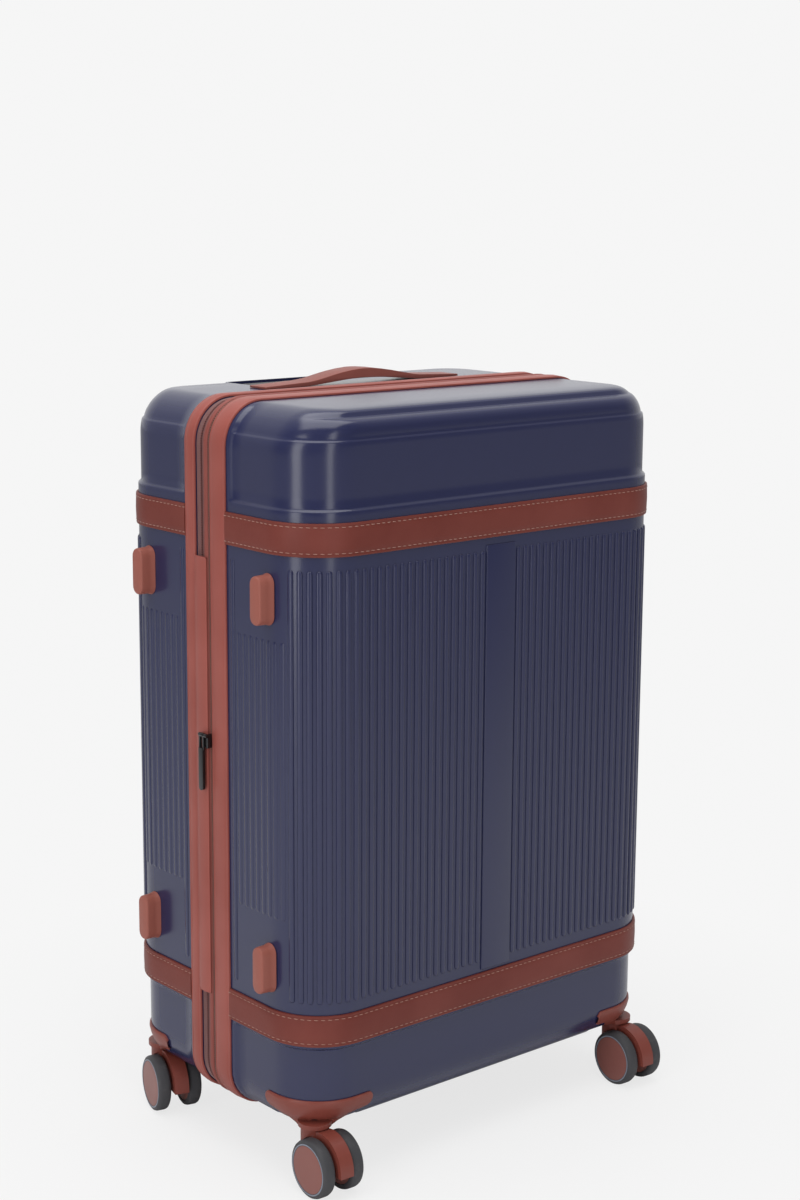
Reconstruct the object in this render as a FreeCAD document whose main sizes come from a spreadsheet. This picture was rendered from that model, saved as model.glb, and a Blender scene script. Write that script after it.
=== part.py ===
import FreeCAD, Part
import math
import os
import re

# Hard shell suitcase on four twin-wheel casters. Millimetres, +Z up, the floor at Z = 0.
# The front of the case looks along -Y and its hinge side along -X. X = 0 and Y = 0 lie on
# the middle of the closed case, so the origin is the point on the floor under its middle.

doc = FreeCAD.newDocument("suitcase")
sheet = doc.addObject("Spreadsheet::Sheet", "Sizes")

SIZES = {
    # closed case, over the shells
    "half_width": 238.5, "face_depth": 158.5, "case_low": 52.0, "case_high": 759.0,
    "outline_round": 42.0, "plan_round": 60.0, "shoulder_round": 22.0, "belly_round": 46.0,
    "wall": 3.0,
    # how far other pieces stay from what they lie on
    "seat_gap": 0.3, "run_gap": 0.06, "slide_gap": 0.1,
    # planes across the depth, front to rear
    "front_trim_face": 33.0, "front_edge": 8.0, "part_plane_main": 6.0, "part_plane_expand": 6.0,
    "rear_edge": 16.3, "rear_trim_face": 32.6, "trim_thick": 2.7, "tape_thick": 2.4,
    "piping_front": 4.8, "piping_rear": 1.8, "piping_proud": 2.6,
    # belts
    "belt_tall": 31.5, "upper_belt_low": 625.2, "lower_belt_low": 148.7, "belt_thick": 2.7,
    # hinge panel over the main zip on the hinge side
    "panel_low": 167.0, "panel_high": 609.0, "panel_thick": 2.6, "panel_front": 4.8,
    # side feet
    "foot_depth": "face_depth - 60.5", "foot_high": 582.0, "foot_low": 221.0, "foot_reach": "half_width + 16",
    "foot_wide": 16.5, "foot_tall": 47.0, "foot_base_wide": 25.0, "foot_base_tall": 50.0,
    "foot_base_thick": 3.2,
    # casters
    "post_across": "half_width - 29.2", "post_along": "face_depth - 28.9",
    "trail": 21.0, "wheel_radius": 29.0,
    "tyre_thick": 5.5, "wheel_wide": 14.0, "wheel_offset": 16.9, "fork_wide": 15.4,
    "fork_radius": 32.5, "fork_front_low": 26.0, "fork_rear_low": 24.0,
    "post_radius": 14.0, "post_top": 62.0, "kingpin_radius": 4.0, "kingpin_low": 42.0,
    "axle_radius": 3.0, "pocket_radius": 64.0, "pocket_ceiling": 66.0,
    "housing_high": 91.5, "housing_low": 74.0, "housing_proud": 2.8, "housing_arm": 53.0,
    "collar_radius": 19.0,
    "turn_front_left": -2.3, "turn_front_right": -2.8, "turn_rear_left": -14.4,
    "turn_rear_right": 6.0,
    # carry handles
    "handle_long": 257.0, "handle_wide": 27.0, "handle_crest": 15.0, "handle_middle": 9.5,
    "handle_end": 4.0, "handle_post": 100.0, "stem_radius": 3.5, "stem_long": 20.0,
    "socket_radius": 8.0, "socket_deep": 24.0, "handle_lift": 12.0,
    "top_handle_along": 64.0, "side_handle_along": 92.0, "side_handle_middle": 405.0,
    # telescopic handle
    "recess_front": "face_depth - 64.5", "recess_rear": "face_depth - 12.5",
    "recess_half": 113.0, "recess_deep": 44.0,
    "recess_wall": 2.4, "grip_half": 103.0, "grip_wide": 26.0, "grip_tall": 22.0,
    "grip_sink": 2.0, "tube_across": 88.0, "tube_radius": 10.2, "tube_wall": 1.1,
    "tube_low": 140.0, "stage_step": 10.0, "stage_travel": 170.0, "button_half": 17.0,
    "button_wide": 13.0, "button_travel": 3.0,
    # lock and main sliders on the opening side
    "lock_front": 33.4, "lock_rear": 64.0, "lock_middle": 405.0, "lock_half": 28.0,
    "lock_proud": 7.5, "lock_inner": 10.5, "dial_radius": 8.0, "dial_wide": 6.0,
    "dial_pitch": 9.0, "dial_along": 52.0, "release_travel": 3.0, "slot_along": 40.0,
    "slider_pitch": 15.0, "slider_tall": 13.6, "slider_wide": 7.8, "slider_thick": 4.0,
    "puller_pin": 1.0, "puller_thick": 2.2, "puller_wide": 5.6,
    # expansion slider on the hinge side
    "expand_slider_middle": 428.0, "expand_puller_long": 56.0, "expand_travel": 50.0,
    # inside
    "lining_thick": 1.0, "front_lining_rear": 29.0,
    "front_lining_face": "face_depth - 7.5", "rear_lining_face": "face_depth - 53.5",
    "rear_lining_high": 710.0,
    "gusset_thick": 4.4, "gusset_deep": 20.0, "pocket_half": 172.0,
    "pocket_low": 112.0, "pocket_high": 505.0, "pocket_thick": 2.0, "pocket_round": 20.0,
    "strap_wide": 38.0, "strap_thick": 1.6, "strap_along": 24.0, "strap_rise": 150.0,
    "buckle_half": 34.0, "screw_radius": 2.0, "screw_head": 4.0,
}

# a size given as text is worked out from sizes above it
for row, (word, size) in enumerate(SIZES.items(), start=1):
    sheet.set("A%d" % row, word)
    sheet.set("B%d" % row, "=" + size if isinstance(size, str) else repr(size))
    sheet.setAlias("B%d" % row, word)
doc.recompute()

NODES = []


def linked(text):
    """Turn plain size words into references to the sheet."""
    return re.sub(r"[a-z_]{3,}", lambda found: "Sizes." + found.group(0)
                  if found.group(0) in SIZES else found.group(0), text)


def number(text):
    """The present value of an expression of size words."""
    return float(sheet.evalExpression(linked(text)))


def bind(thing, prop, text):
    thing.setExpression(prop, linked(text))


def finish(thing, label):
    """Give a sub-part its node name and keep it for writing."""
    thing.Label = label
    NODES.append(thing)
    return thing


def move(thing, x="0", y="0", z="0"):
    for axis, text in zip("xyz", (x, y, z)):
        bind(thing, "Placement.Base." + axis, text)
    return thing


# A sketch plane for each direction a prism can be drawn along: how u, v and the normal lie.
PLANES = {
    "X": FreeCAD.Rotation(FreeCAD.Vector(1, 1, 1), 120),
    "Y": FreeCAD.Rotation(FreeCAD.Vector(1, 0, 0), 90),
    "Z": FreeCAD.Rotation(),
}
QUARTER = math.pi / 2


def rounded_outline(name, left, right, low, high, rounds):
    """Sketch of a rectangle. rounds holds the corner radii from low-left, anticlockwise."""
    sketch = doc.addObject("Sketcher::SketchObject", name)
    edge = [number(text) for text in (low, right, high, left)]
    u0, u1, v0, v1 = edge[3], edge[1], edge[0], edge[2]
    radii = [number(text) for text in rounds]
    corner = [(u0, v0, 1, 1), (u1, v0, -1, 1), (u1, v1, -1, -1), (u0, v1, 1, -1)]
    lines = []
    for i in range(4):
        ua, va, sa, ta = corner[i]
        ub, vb, sb, tb = corner[(i + 1) % 4]
        ra, rb = radii[i], radii[(i + 1) % 4]
        if i % 2 == 0:
            start, stop = (ua + sa * ra, va), (ub + sb * rb, vb)
        else:
            start, stop = (ua, va + ta * ra), (ub, vb + tb * rb)
        segment = Part.LineSegment(FreeCAD.Vector(*start), FreeCAD.Vector(*stop))
        lines.append(sketch.addGeometry(segment))
    constrain(sketch, lines, corner, radii, rounds, (low, right, high, left))
    return sketch


def constrain(sketch, lines, corner, radii, rounds, sides):
    """Tie the rectangle's sides and corner arcs to the sheet."""
    import Sketcher
    for i, line in enumerate(lines):
        level = "Horizontal" if i % 2 == 0 else "Vertical"
        sketch.addConstraint(Sketcher.Constraint(level, line))
        kind = "DistanceY" if i % 2 == 0 else "DistanceX"
        held = sketch.addConstraint(Sketcher.Constraint(kind, -1, 1, line, 1, number(sides[i])))
        bind(sketch, "Constraints[%d]" % held, sides[i])
    for i in range(4):
        before, after = lines[i - 1], lines[i]
        if radii[i] <= 0:
            sketch.addConstraint(Sketcher.Constraint("Coincident", before, 2, after, 1))
            continue
        u, v, su, sv = corner[i]
        circle = Part.Circle(FreeCAD.Vector(u + su * radii[i], v + sv * radii[i]),
                             FreeCAD.Vector(0, 0, 1), radii[i])
        first = math.pi + i * QUARTER
        arc = sketch.addGeometry(Part.ArcOfCircle(circle, first, first + QUARTER))
        sketch.addConstraint(Sketcher.Constraint("Tangent", before, 2, arc, 1))
        sketch.addConstraint(Sketcher.Constraint("Tangent", arc, 2, after, 1))
        held = sketch.addConstraint(Sketcher.Constraint("Radius", arc, radii[i]))
        bind(sketch, "Constraints[%d]" % held, rounds[i])


def prism(name, axis, sides, start, stop, rounds=("0", "0", "0", "0")):
    """A rounded rectangle drawn out along an axis from start to stop.

    sides are left, right, low and high in the plane across the axis: Y and Z for a prism
    along X, X and Z for one along Y, X and Y for one along Z.
    """
    if isinstance(rounds, str):
        rounds = (rounds,) * 4
    sketch = rounded_outline(name + "_outline", *sides, rounds)
    sketch.Placement = FreeCAD.Placement(FreeCAD.Vector(), PLANES[axis])
    bind(sketch, "Placement.Base." + axis.lower(), start)
    solid = doc.addObject("Part::Extrusion", name)
    solid.Base = sketch
    solid.DirMode = "Custom"
    solid.Dir = {"X": (1, 0, 0), "Y": (0, 1, 0), "Z": (0, 0, 1)}[axis]
    solid.Solid = True
    bind(solid, "LengthFwd", "(%s) - (%s)" % (stop, start))
    return solid


def rod(name, axis, centre, start, stop, radius):
    """A cylinder along an axis; centre is in the plane across it, as in prism."""
    solid = doc.addObject("Part::Cylinder", name)
    bind(solid, "Radius", radius)
    bind(solid, "Height", "(%s) - (%s)" % (stop, start))
    turn = {"X": FreeCAD.Rotation(FreeCAD.Vector(0, 1, 0), 90),
            "Y": FreeCAD.Rotation(FreeCAD.Vector(1, 0, 0), -90), "Z": FreeCAD.Rotation()}
    solid.Placement = FreeCAD.Placement(FreeCAD.Vector(), turn[axis])
    across = [letter for letter in "xyz" if letter != axis.lower()]
    for letter, text in zip(across, centre):
        bind(solid, "Placement.Base." + letter, text)
    bind(solid, "Placement.Base." + axis.lower(), start)
    return solid


def cut(name, base, tool):
    thing = doc.addObject("Part::Cut", name)
    thing.Base = base
    thing.Tool = tool
    return thing


def joined(name, *pieces):
    thing = doc.addObject("Part::MultiFuse", name)
    thing.Shapes = list(pieces)
    return thing


def shared(name, *pieces):
    thing = doc.addObject("Part::MultiCommon", name)
    thing.Shapes = list(pieces)
    return thing


def cut_all(name, base, *tools):
    tool = tools[0] if len(tools) == 1 else joined(name + "_tools", *tools)
    return cut(name, base, tool)


# ---------------------------------------------------------------- shells

def case_solid(name, inset, front):
    """The solid block of one half of the case, drawn in by inset on every outer side."""
    wide = "half_width - (%s)" % inset
    deep = "face_depth - (%s)" % inset
    low = "case_low + (%s)" % inset
    high = "case_high - (%s)" % inset
    face, back = ("-(%s)" % deep, "0") if front else ("0", deep)
    corner, shoulder, belly = ["%s - (%s)" % (word, inset)
                               for word in ("plan_round", "shoulder_round", "belly_round")]
    outline = ["outline_round - (%s)" % inset] * 4
    seen = prism(name + "_seen", "Y", ("-(%s)" % wide, wide, low, high), face, back, outline)
    plan_rounds = (corner, corner, "0", "0") if front else ("0", "0", corner, corner)
    plan = prism(name + "_plan", "Z", ("-(%s)" % wide, wide, face, back), low, high, plan_rounds)
    side_rounds = (belly, "0", "0", shoulder) if front else ("0", belly, shoulder, "0")
    side = prism(name + "_side", "X", (face, back, low, high), "-(%s)" % wide, wide, side_rounds)
    return shared(name, seen, plan, side)


def wheel_pockets(name, front, spare):
    """The room each caster sweeps, grown by spare for the wall over it."""
    along = "-post_along" if front else "post_along"
    rods = [rod("%s_%s" % (name, side), "Z", (sign + "post_across", along), "0",
                "pocket_ceiling + (%s)" % spare, "pocket_radius + (%s)" % spare)
            for side, sign in (("left", "-"), ("right", ""))]
    return joined(name, *rods)


def edge_slab(name, front, edge):
    """What lies on the zip side of a shell's edge, to be cut away."""
    reach = "half_width * 2"
    start, stop = ("-(%s)" % edge, reach) if front else ("-%s" % reach, edge)
    return prism(name, "Y", ("-%s" % reach, reach, "-" + reach, "case_high + " + reach),
                 start, stop)


def kingpin_holes(name, front):
    along = "-post_along" if front else "post_along"
    return [rod("%s_%s" % (name, side), "Z", (sign + "post_across", along), "0",
                "pocket_ceiling * 2", "kingpin_radius + run_gap")
            for side, sign in (("left", "-"), ("right", ""))]


def shell(front, openings):
    word = "front" if front else "rear"
    edge = "front_edge + seat_gap" if front else "rear_edge"
    outer = cut(word + "_outer", case_solid(word + "_block", "0", front),
                wheel_pockets(word + "_pockets", front, "0"))
    inner = cut(word + "_inner", case_solid(word + "_hollow", "wall", front),
                wheel_pockets(word + "_pocket_walls", front, "wall"))
    body = cut_all(word + "_shell_body", outer, inner, edge_slab(word + "_slab", front, edge),
                   *kingpin_holes(word + "_pin_hole", front), *openings)
    return finish(body, word + "_shell")


def ring(name, start, stop, outer, inner):
    """A band round the case, between two offsets from the shells' outline."""
    def block(part, proud):
        sides = ("-(half_width + (%s))" % proud, "half_width + (%s)" % proud,
                 "case_low - (%s)" % proud, "case_high + (%s)" % proud)
        return prism(name + part, "Y", sides, start, stop, "outline_round + (%s)" % proud)
    return cut(name, block("_out", outer), block("_in", inner))


def zip_bands():
    proud = "seat_gap + trim_thick"
    finish(ring("front_trim", "-front_trim_face", "-front_edge", proud, "seat_gap"), "front_trim")
    finish(ring("rear_trim", "rear_edge", "rear_trim_face", proud, "seat_gap"), "rear_trim")
    finish(ring("main_zip_rear", "part_plane_main + seat_gap", "rear_edge - seat_gap",
                "0", "-tape_thick"), "main_zip_rear")
    finish(ring("middle_band", "-part_plane_expand + seat_gap", "part_plane_main - seat_gap",
                "0", "-tape_thick"), "middle_band")
    finish(ring("edge_piping", "-piping_front", "piping_rear", "piping_proud", "seat_gap"),
           "edge_piping")
    finish(ring("expansion_zip_front", "-front_edge", "-part_plane_expand - seat_gap",
                "0", "-tape_thick"), "expansion_zip_front")
    inner = "-wall - seat_gap"
    finish(ring("expansion_gusset", "-front_edge - gusset_deep", "-part_plane_expand - seat_gap",
                inner, inner + " - gusset_thick"), "expansion_gusset")


def belts(front):
    """Upper and lower belts, round the face of one half from trim to trim."""
    word = "front" if front else "rear"
    sign = "-" if front else ""
    trim = "front_trim_face + seat_gap" if front else "rear_trim_face + seat_gap"
    pieces = []
    for level, low in (("upper", "upper_belt_low"), ("lower", "lower_belt_low")):
        name = "%s_%s_belt" % (word, level)
        blocks = []
        for part, proud in (("_out", "seat_gap + belt_thick"), ("_in", "seat_gap")):
            wide = "half_width + (%s)" % proud
            deep = "face_depth + (%s)" % proud
            near, far = ("-(%s)" % deep, "-(%s)" % trim) if front else (trim, deep)
            corner = "plan_round + (%s)" % proud
            rounds = (corner, corner, "0", "0") if front else ("0", "0", corner, corner)
            if part == "_in":
                far = far + " + 1" if front else far
                near = near if front else near + " - 1"
            blocks.append(prism(name + part, "Z", ("-(%s)" % wide, wide, near, far),
                                low, low + " + belt_tall", rounds))
        pieces.append(cut(name, *blocks))
    return finish(joined(word + "_belt_pair", *pieces), word + "_belts")


def hinge_panel():
    reach = "half_width + piping_proud + seat_gap"
    panel = prism("hinge_strip", "X", ("-panel_front", "rear_edge - seat_gap",
                                       "panel_low", "panel_high"),
                  "-(%s + panel_thick)" % reach, "-(%s)" % reach)
    return finish(panel, "hinge_panel")


def side_feet(front):
    """Two feet on the hinge side, which the case rests on when laid on its edge."""
    word = "front" if front else "rear"
    along = "-foot_depth" if front else "foot_depth"
    start = "half_width + seat_gap"
    pieces = []
    for level, middle in (("upper", "foot_high"), ("lower", "foot_low")):
        name = "%s_%s_foot" % (word, level)
        steps = (("_base", "foot_base_wide", "foot_base_tall", start + " + foot_base_thick",
                  start), ("_pad", "foot_wide", "foot_tall", "foot_reach",
                           start + " + foot_base_thick"))
        for part, wide, tall, far, near in steps:
            sides = ("%s - %s / 2" % (along, wide), "%s + %s / 2" % (along, wide),
                     "%s - %s / 2" % (middle, tall), "%s + %s / 2" % (middle, tall))
            pieces.append(prism(name + part, "X", sides, "-(%s)" % far, "-(%s)" % near,
                                wide + " * 0.49"))
    return finish(joined(word + "_feet", *pieces), word + "_side_feet")


# ---------------------------------------------------------------- casters

def caster_housing(name, front, left, drillings):
    """Corner bracket outside the shell, with the plate and collar that hold the post."""
    x_sign, y_sign = ("-" if left else ""), ("-" if front else "")
    across, along = x_sign + "post_across", y_sign + "post_along"
    wide = "half_width + housing_proud"
    deep = "face_depth + housing_proud"
    corner = "plan_round + housing_proud"
    arm = "post_across - housing_arm"
    arm_along = "post_along - housing_arm"
    x_low, x_high = ("-(%s)" % wide, "-(%s)" % arm) if left else (arm, wide)
    y_low, y_high = ("-(%s)" % deep, "-(%s)" % arm_along) if front else (arm_along, deep)
    where = {(True, True): 0, (False, True): 1, (False, False): 2, (True, False): 3}
    rounds = ["0"] * 4
    rounds[where[(left, front)]] = corner
    block = prism(name + "_block", "Z", (x_low, x_high, y_low, y_high),
                  "housing_low", "housing_high", rounds)
    arms = cut(name + "_arms", block, case_solid(name + "_case", "-seat_gap", front))
    plate_top = "pocket_ceiling - seat_gap"
    plate_rod = rod(name + "_disc", "Z", (across, along), "post_top + seat_gap", plate_top,
                    "pocket_radius - seat_gap")
    plate_edge = prism(name + "_edge", "Z", (x_low, x_high, y_low, y_high),
                       "post_top + seat_gap", plate_top, rounds)
    plate = shared(name + "_plate", plate_rod, plate_edge)
    skirt = cut(name + "_skirt",
                prism(name + "_skirt_block", "Z", (x_low, x_high, y_low, y_high),
                      "post_top + seat_gap", "housing_low", rounds),
                case_solid(name + "_skirt_case", "-seat_gap", front))
    near_post = rod(name + "_reach", "Z", (across, along), "0", "housing_high",
                    "collar_radius + housing_arm / 3")
    lobe = shared(name + "_lobe", skirt, near_post)
    body = cut_all(name + "_body", joined(name + "_union", arms, plate, lobe),
                   rod(name + "_bore", "Z", (across, along), "0", "housing_high",
                       "kingpin_radius + run_gap"), *drillings)
    return body


def kingpin(name, front, left):
    """Swivel pin from the fork's post up through the housing, with its head in the shell."""
    across = ("-" if left else "") + "post_across"
    along = ("-" if front else "") + "post_along"
    top = "pocket_ceiling + wall + seat_gap"
    shank = rod(name + "_shank", "Z", (across, along), "kingpin_low", top, "kingpin_radius")
    head = rod(name + "_head", "Z", (across, along), top, top + " + wall",
               "kingpin_radius * 1.8")
    return joined(name, shank, head)


def placed(thing, front, left, turn):
    """Set a piece drawn about the swivel axis at its corner of the case."""
    bind(thing, "Placement.Base.x", ("-" if left else "") + "post_across")
    bind(thing, "Placement.Base.y", ("-" if front else "") + "post_along")
    bind(thing, "Placement.Rotation.Angle", turn)
    return thing


def fork(name):
    """Web between the two wheels, arched over the front, with the swivel post on top."""
    half = "fork_wide / 2"
    arch = rod(name + "_arch", "X", ("-trail", "wheel_radius"), "-" + half, half, "fork_radius")
    clear = "fork_radius * 2"
    front_cut = prism(name + "_front_cut", "X",
                      ("-trail - " + clear, "-trail", "-" + clear, "fork_front_low"),
                      "-fork_wide", "fork_wide")
    rear_cut = prism(name + "_rear_cut", "X",
                     ("-trail + axle_radius * 2.5", clear, "-" + clear,
                      "fork_rear_low"), "-fork_wide", "fork_wide")
    under = prism(name + "_under", "X",
                  ("-trail - 1", "-trail + " + clear, "-" + clear, "fork_front_low"),
                  "-fork_wide", "fork_wide")
    web = cut_all(name + "_web", arch, front_cut, rear_cut, under)
    post = rod(name + "_post", "Z", ("0", "0"), "kingpin_low - wall", "post_top", "post_radius")
    pocket = joined(name + "_sweep", *wheel_rooms(name + "_room"))
    trimmed = cut(name + "_post_trim", post, pocket)
    pin = rod(name + "_pin_bore", "Z", ("0", "0"), "kingpin_low - seat_gap", "post_top + 1",
              "kingpin_radius + run_gap")
    axle = rod(name + "_axle_bore", "X", ("-trail", "wheel_radius"), "-fork_wide", "fork_wide",
               "axle_radius + run_gap")
    return cut_all(name, joined(name + "_union", web, trimmed), pin, axle)


def wheel_rooms(name):
    """The space of the two wheels, a little larger than they are."""
    inner = "wheel_offset - wheel_wide / 2 - seat_gap"
    rooms = []
    for side, start, stop in (("left", "-wheel_offset * 2", "-(%s)" % inner),
                              ("right", inner, "wheel_offset * 2")):
        rooms.append(rod("%s_%s" % (name, side), "X", ("-trail", "wheel_radius"), start, stop,
                         "wheel_radius + 1"))
    return rooms


def axle(name):
    reach = "wheel_offset + wheel_wide / 2 - 2"
    pin = rod(name + "_pin", "X", ("-trail", "wheel_radius"), "-(%s)" % reach, reach,
              "axle_radius")
    whole = doc.addObject("Part::Compound", name)
    whole.Links = [pin]
    return whole


def wheel_rings(name, outer, inner, near, far):
    """A ring or disc in each of the two wheels, between two distances from the fork."""
    rings = []
    for side, sign in (("left", -1), ("right", 1)):
        start, stop = (near, far) if sign > 0 else ("-(%s)" % far, "-(%s)" % near)
        disc = rod("%s_%s_disc" % (name, side), "X", ("-trail", "wheel_radius"), start, stop,
                   outer)
        hole = rod("%s_%s_hole" % (name, side), "X", ("-trail", "wheel_radius"),
                   "-wheel_offset * 2", "wheel_offset * 2", inner)
        rings.append(cut("%s_%s" % (name, side), disc, hole))
    return joined(name, *rings)


def casters():
    corners = (("front_left", True, True), ("front_right", True, False),
               ("rear_left", False, True), ("rear_right", False, False))
    near = "wheel_offset - wheel_wide / 2"
    far = "wheel_offset + wheel_wide / 2"
    seat = "wheel_radius - tyre_thick"
    for corner, front, left in corners:
        turn = "turn_" + corner
        pieces = (("fork", fork("fork_build_" + corner)),
                  ("axle", axle("axle_build_" + corner)),
                  ("tyres", wheel_rings("tyre_build_" + corner, "wheel_radius", seat, near, far)),
                  ("hubs", wheel_rings("hub_build_" + corner, seat + " - run_gap",
                                       "axle_radius + run_gap / 2", near + " + seat_gap",
                                       far + " - seat_gap * 2")))
        for word, piece in pieces:
            finish(placed(piece, front, left, turn), "%s_%s" % (corner, word))
    for word, front in (("front", True), ("rear", False)):
        housings = [caster_housing("%s_%s_housing" % (word, side), front, left,
                                   [] if front else screw_holes("drilling", side))
                    for side, left in (("left", True), ("right", False))]
        finish(joined(word + "_housings", *housings), word + "_caster_housings")
        pins = [kingpin("%s_%s_kingpin" % (word, side), front, left)
                for side, left in (("left", True), ("right", False))]
        finish(joined(word + "_pins", *pins), word + "_kingpins")


# ---------------------------------------------------------------- carry handles

def handle_grip(name, label):
    """Arched strap with flat pointed ends, and a stem under each end."""
    half = number("handle_long") / 2
    wide = number("handle_wide")
    crest = number("handle_crest")
    under = crest - number("handle_middle")
    end = number("handle_end")
    gap = number("seat_gap")
    fade = number("handle_post") - 2 * number("socket_radius")
    knee = fade * 0.5
    edges = []
    for level, rise, sink in ((end + gap, crest, end * 0.6), (gap, under, gap)):
        bend = level + (rise - level) * 0.55
        curve = Part.BSplineCurve()
        curve.interpolate([FreeCAD.Vector(u, 0, v) for u, v in
                           ((-fade, level), (-knee, bend), (0, rise), (knee, bend),
                            (fade, level))], InitialTangent=FreeCAD.Vector(1, 0, 0),
                          FinalTangent=FreeCAD.Vector(1, 0, 0))
        edges.append(curve.toShape())
        for sign in (-1, 1):
            edges.append(Part.makeLine(FreeCAD.Vector(sign * fade, 0, level),
                                       FreeCAD.Vector(sign * half, 0, sink)))
    for sign in (-1, 1):
        edges.append(Part.makeLine(FreeCAD.Vector(sign * half, 0, gap),
                                   FreeCAD.Vector(sign * half, 0, end * 0.6)))
    face = Part.Face(Part.Wire(Part.__sortEdges__(edges)))
    face.translate(FreeCAD.Vector(0, -wide / 2, 0))
    grip = face.extrude(FreeCAD.Vector(0, wide, 0))
    for sign in (-1, 1):
        foot = FreeCAD.Vector(sign * number("handle_post"), 0, -number("stem_long"))
        stem = Part.makeCylinder(number("stem_radius"), number("stem_long") + end / 2, foot)
        grip = grip.fuse(stem)
    thing = doc.addObject("Part::Feature", name)
    thing.Shape = grip.removeSplitter()
    return finish(thing, label)


def carry_handles():
    """One grip on top and one on the opening side; both lift on their stems."""
    top = handle_grip("top_grip", "top_handle_grip")
    move(top, "0", "top_handle_along", "case_high")
    side = handle_grip("side_grip", "side_handle_grip")
    side.Placement = FreeCAD.Placement(FreeCAD.Vector(),
                                       FreeCAD.Rotation(FreeCAD.Vector(0, 1, 0), 90))
    move(side, "half_width", "side_handle_along", "side_handle_middle")
    sockets = []
    for end, sign in (("first", "-"), ("second", "")):
        centre = (sign + "handle_post", "top_handle_along")
        sockets.append(socket("top_socket_" + end, "Z", centre, "case_high"))
        centre = ("side_handle_along", "side_handle_middle %s handle_post" % (sign or "+"))
        sockets.append(socket("side_socket_" + end, "X", centre, "half_width"))
    finish(joined("sockets", *sockets), "handle_mounts")


def socket(name, axis, centre, face):
    """Sleeve through the shell that a grip's stem slides in."""
    near = "%s - wall - socket_deep" % face
    sleeve = rod(name + "_sleeve", axis, centre, near, face, "socket_radius")
    bore = rod(name + "_bore", axis, centre, near + " + wall", face + " + 1",
               "stem_radius + run_gap")
    return cut(name, sleeve, bore)


def socket_holes():
    holes = []
    for end, sign in (("first", "-"), ("second", "")):
        holes.append(rod("top_socket_hole_" + end, "Z", (sign + "handle_post",
                     "top_handle_along"), "case_high - wall * 3", "case_high + 1",
                     "socket_radius + seat_gap"))
        holes.append(rod("side_socket_hole_" + end, "X",
                     ("side_handle_along", "side_handle_middle %s handle_post" % (sign or "+")),
                     "half_width - wall * 3", "half_width + 1", "socket_radius + seat_gap"))
    return holes


# ---------------------------------------------------------------- telescopic handle

GRIP_FRONT = "(recess_front + recess_rear) / 2 - grip_wide / 2"
GRIP_REAR = "(recess_front + recess_rear) / 2 + grip_wide / 2"
TUBE_ALONG = "(recess_front + recess_rear) / 2"
GRIP_TOP = "case_high - grip_sink"
FLOOR = "case_high - recess_deep"


def tube_pair(name, label, low, high, outer, inner):
    tubes = []
    for side, sign in (("left", "-"), ("right", "")):
        centre = (sign + "tube_across", TUBE_ALONG)
        tube = rod("%s_%s_out" % (name, side), "Z", centre, low, high, outer)
        bore = rod("%s_%s_in" % (name, side), "Z", centre, low + " - 1", high + " + 1", inner)
        tubes.append(cut("%s_%s" % (name, side), tube, bore))
    return finish(joined(name, *tubes), label)


def trolley():
    radius = ["tube_radius", "tube_radius - tube_wall - slide_gap",
              "tube_radius - tube_wall * 2 - slide_gap * 2"]
    floor_top = FLOOR + " + recess_wall"
    cup = prism("recess_cup", "Z", ("-recess_half", "recess_half", "recess_front",
                                    "recess_rear"), FLOOR, "case_high - seat_gap", "8")
    hollow = prism("recess_hollow", "Z", ("-recess_half + recess_wall",
                   "recess_half - recess_wall", "recess_front + recess_wall",
                   "recess_rear - recess_wall"), floor_top, "case_high + 1", "6")
    holes = [rod("recess_hole" + side, "Z", (sign + "tube_across", TUBE_ALONG),
                 FLOOR + " - 1", floor_top + " + 1", radius[1] + " + slide_gap")
             for side, sign in (("_left", "-"), ("_right", ""))]
    finish(cut_all("recess", cup, hollow, *holes), "trolley_recess")
    tube_pair("outer_tubes", "trolley_outer_tubes", "tube_low", FLOOR + " - seat_gap",
              radius[0], radius[0] + " - tube_wall")
    tube_pair("middle_tubes", "trolley_middle_tubes", "tube_low + stage_step",
              floor_top, radius[1], radius[1] + " - tube_wall")
    grip_low = GRIP_TOP + " - grip_tall"
    tube_pair("inner_tubes", "trolley_inner_tubes", "tube_low + stage_step * 2",
              grip_low + " + 6", radius[2], radius[2] + " - tube_wall")
    grip = prism("grip_bar", "Z", ("-grip_half", "grip_half", GRIP_FRONT, GRIP_REAR),
                 grip_low, GRIP_TOP, "9")
    sockets = [rod("grip_socket" + side, "Z", (sign + "tube_across", TUBE_ALONG),
                   grip_low + " - 1", grip_low + " + 6 + seat_gap", radius[2] + " + slide_gap")
               for side, sign in (("_left", "-"), ("_right", ""))]
    well = prism("button_well", "Z", ("-button_half - seat_gap", "button_half + seat_gap",
                 TUBE_ALONG + " - button_wide / 2 - seat_gap",
                 TUBE_ALONG + " + button_wide / 2 + seat_gap"),
                 GRIP_TOP + " - button_travel * 3", GRIP_TOP + " + 1", "4.3")
    finish(cut_all("trolley_bar", grip, well, *sockets), "trolley_grip")
    button = prism("button_cap", "Z", ("-button_half", "button_half",
                   TUBE_ALONG + " - button_wide / 2", TUBE_ALONG + " + button_wide / 2"),
                   GRIP_TOP + " - button_travel * 2 + seat_gap", GRIP_TOP + " + 0.5", "4")
    finish(button, "trolley_button")


def trolley_hole():
    return prism("recess_way", "Z", ("-recess_half - seat_gap", "recess_half + seat_gap",
                 "recess_front - seat_gap", "recess_rear + seat_gap"),
                 FLOOR, "case_high + 1", "8.3")


# ---------------------------------------------------------------- lock and sliders

LOCK_FACE = "half_width + lock_proud"


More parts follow.
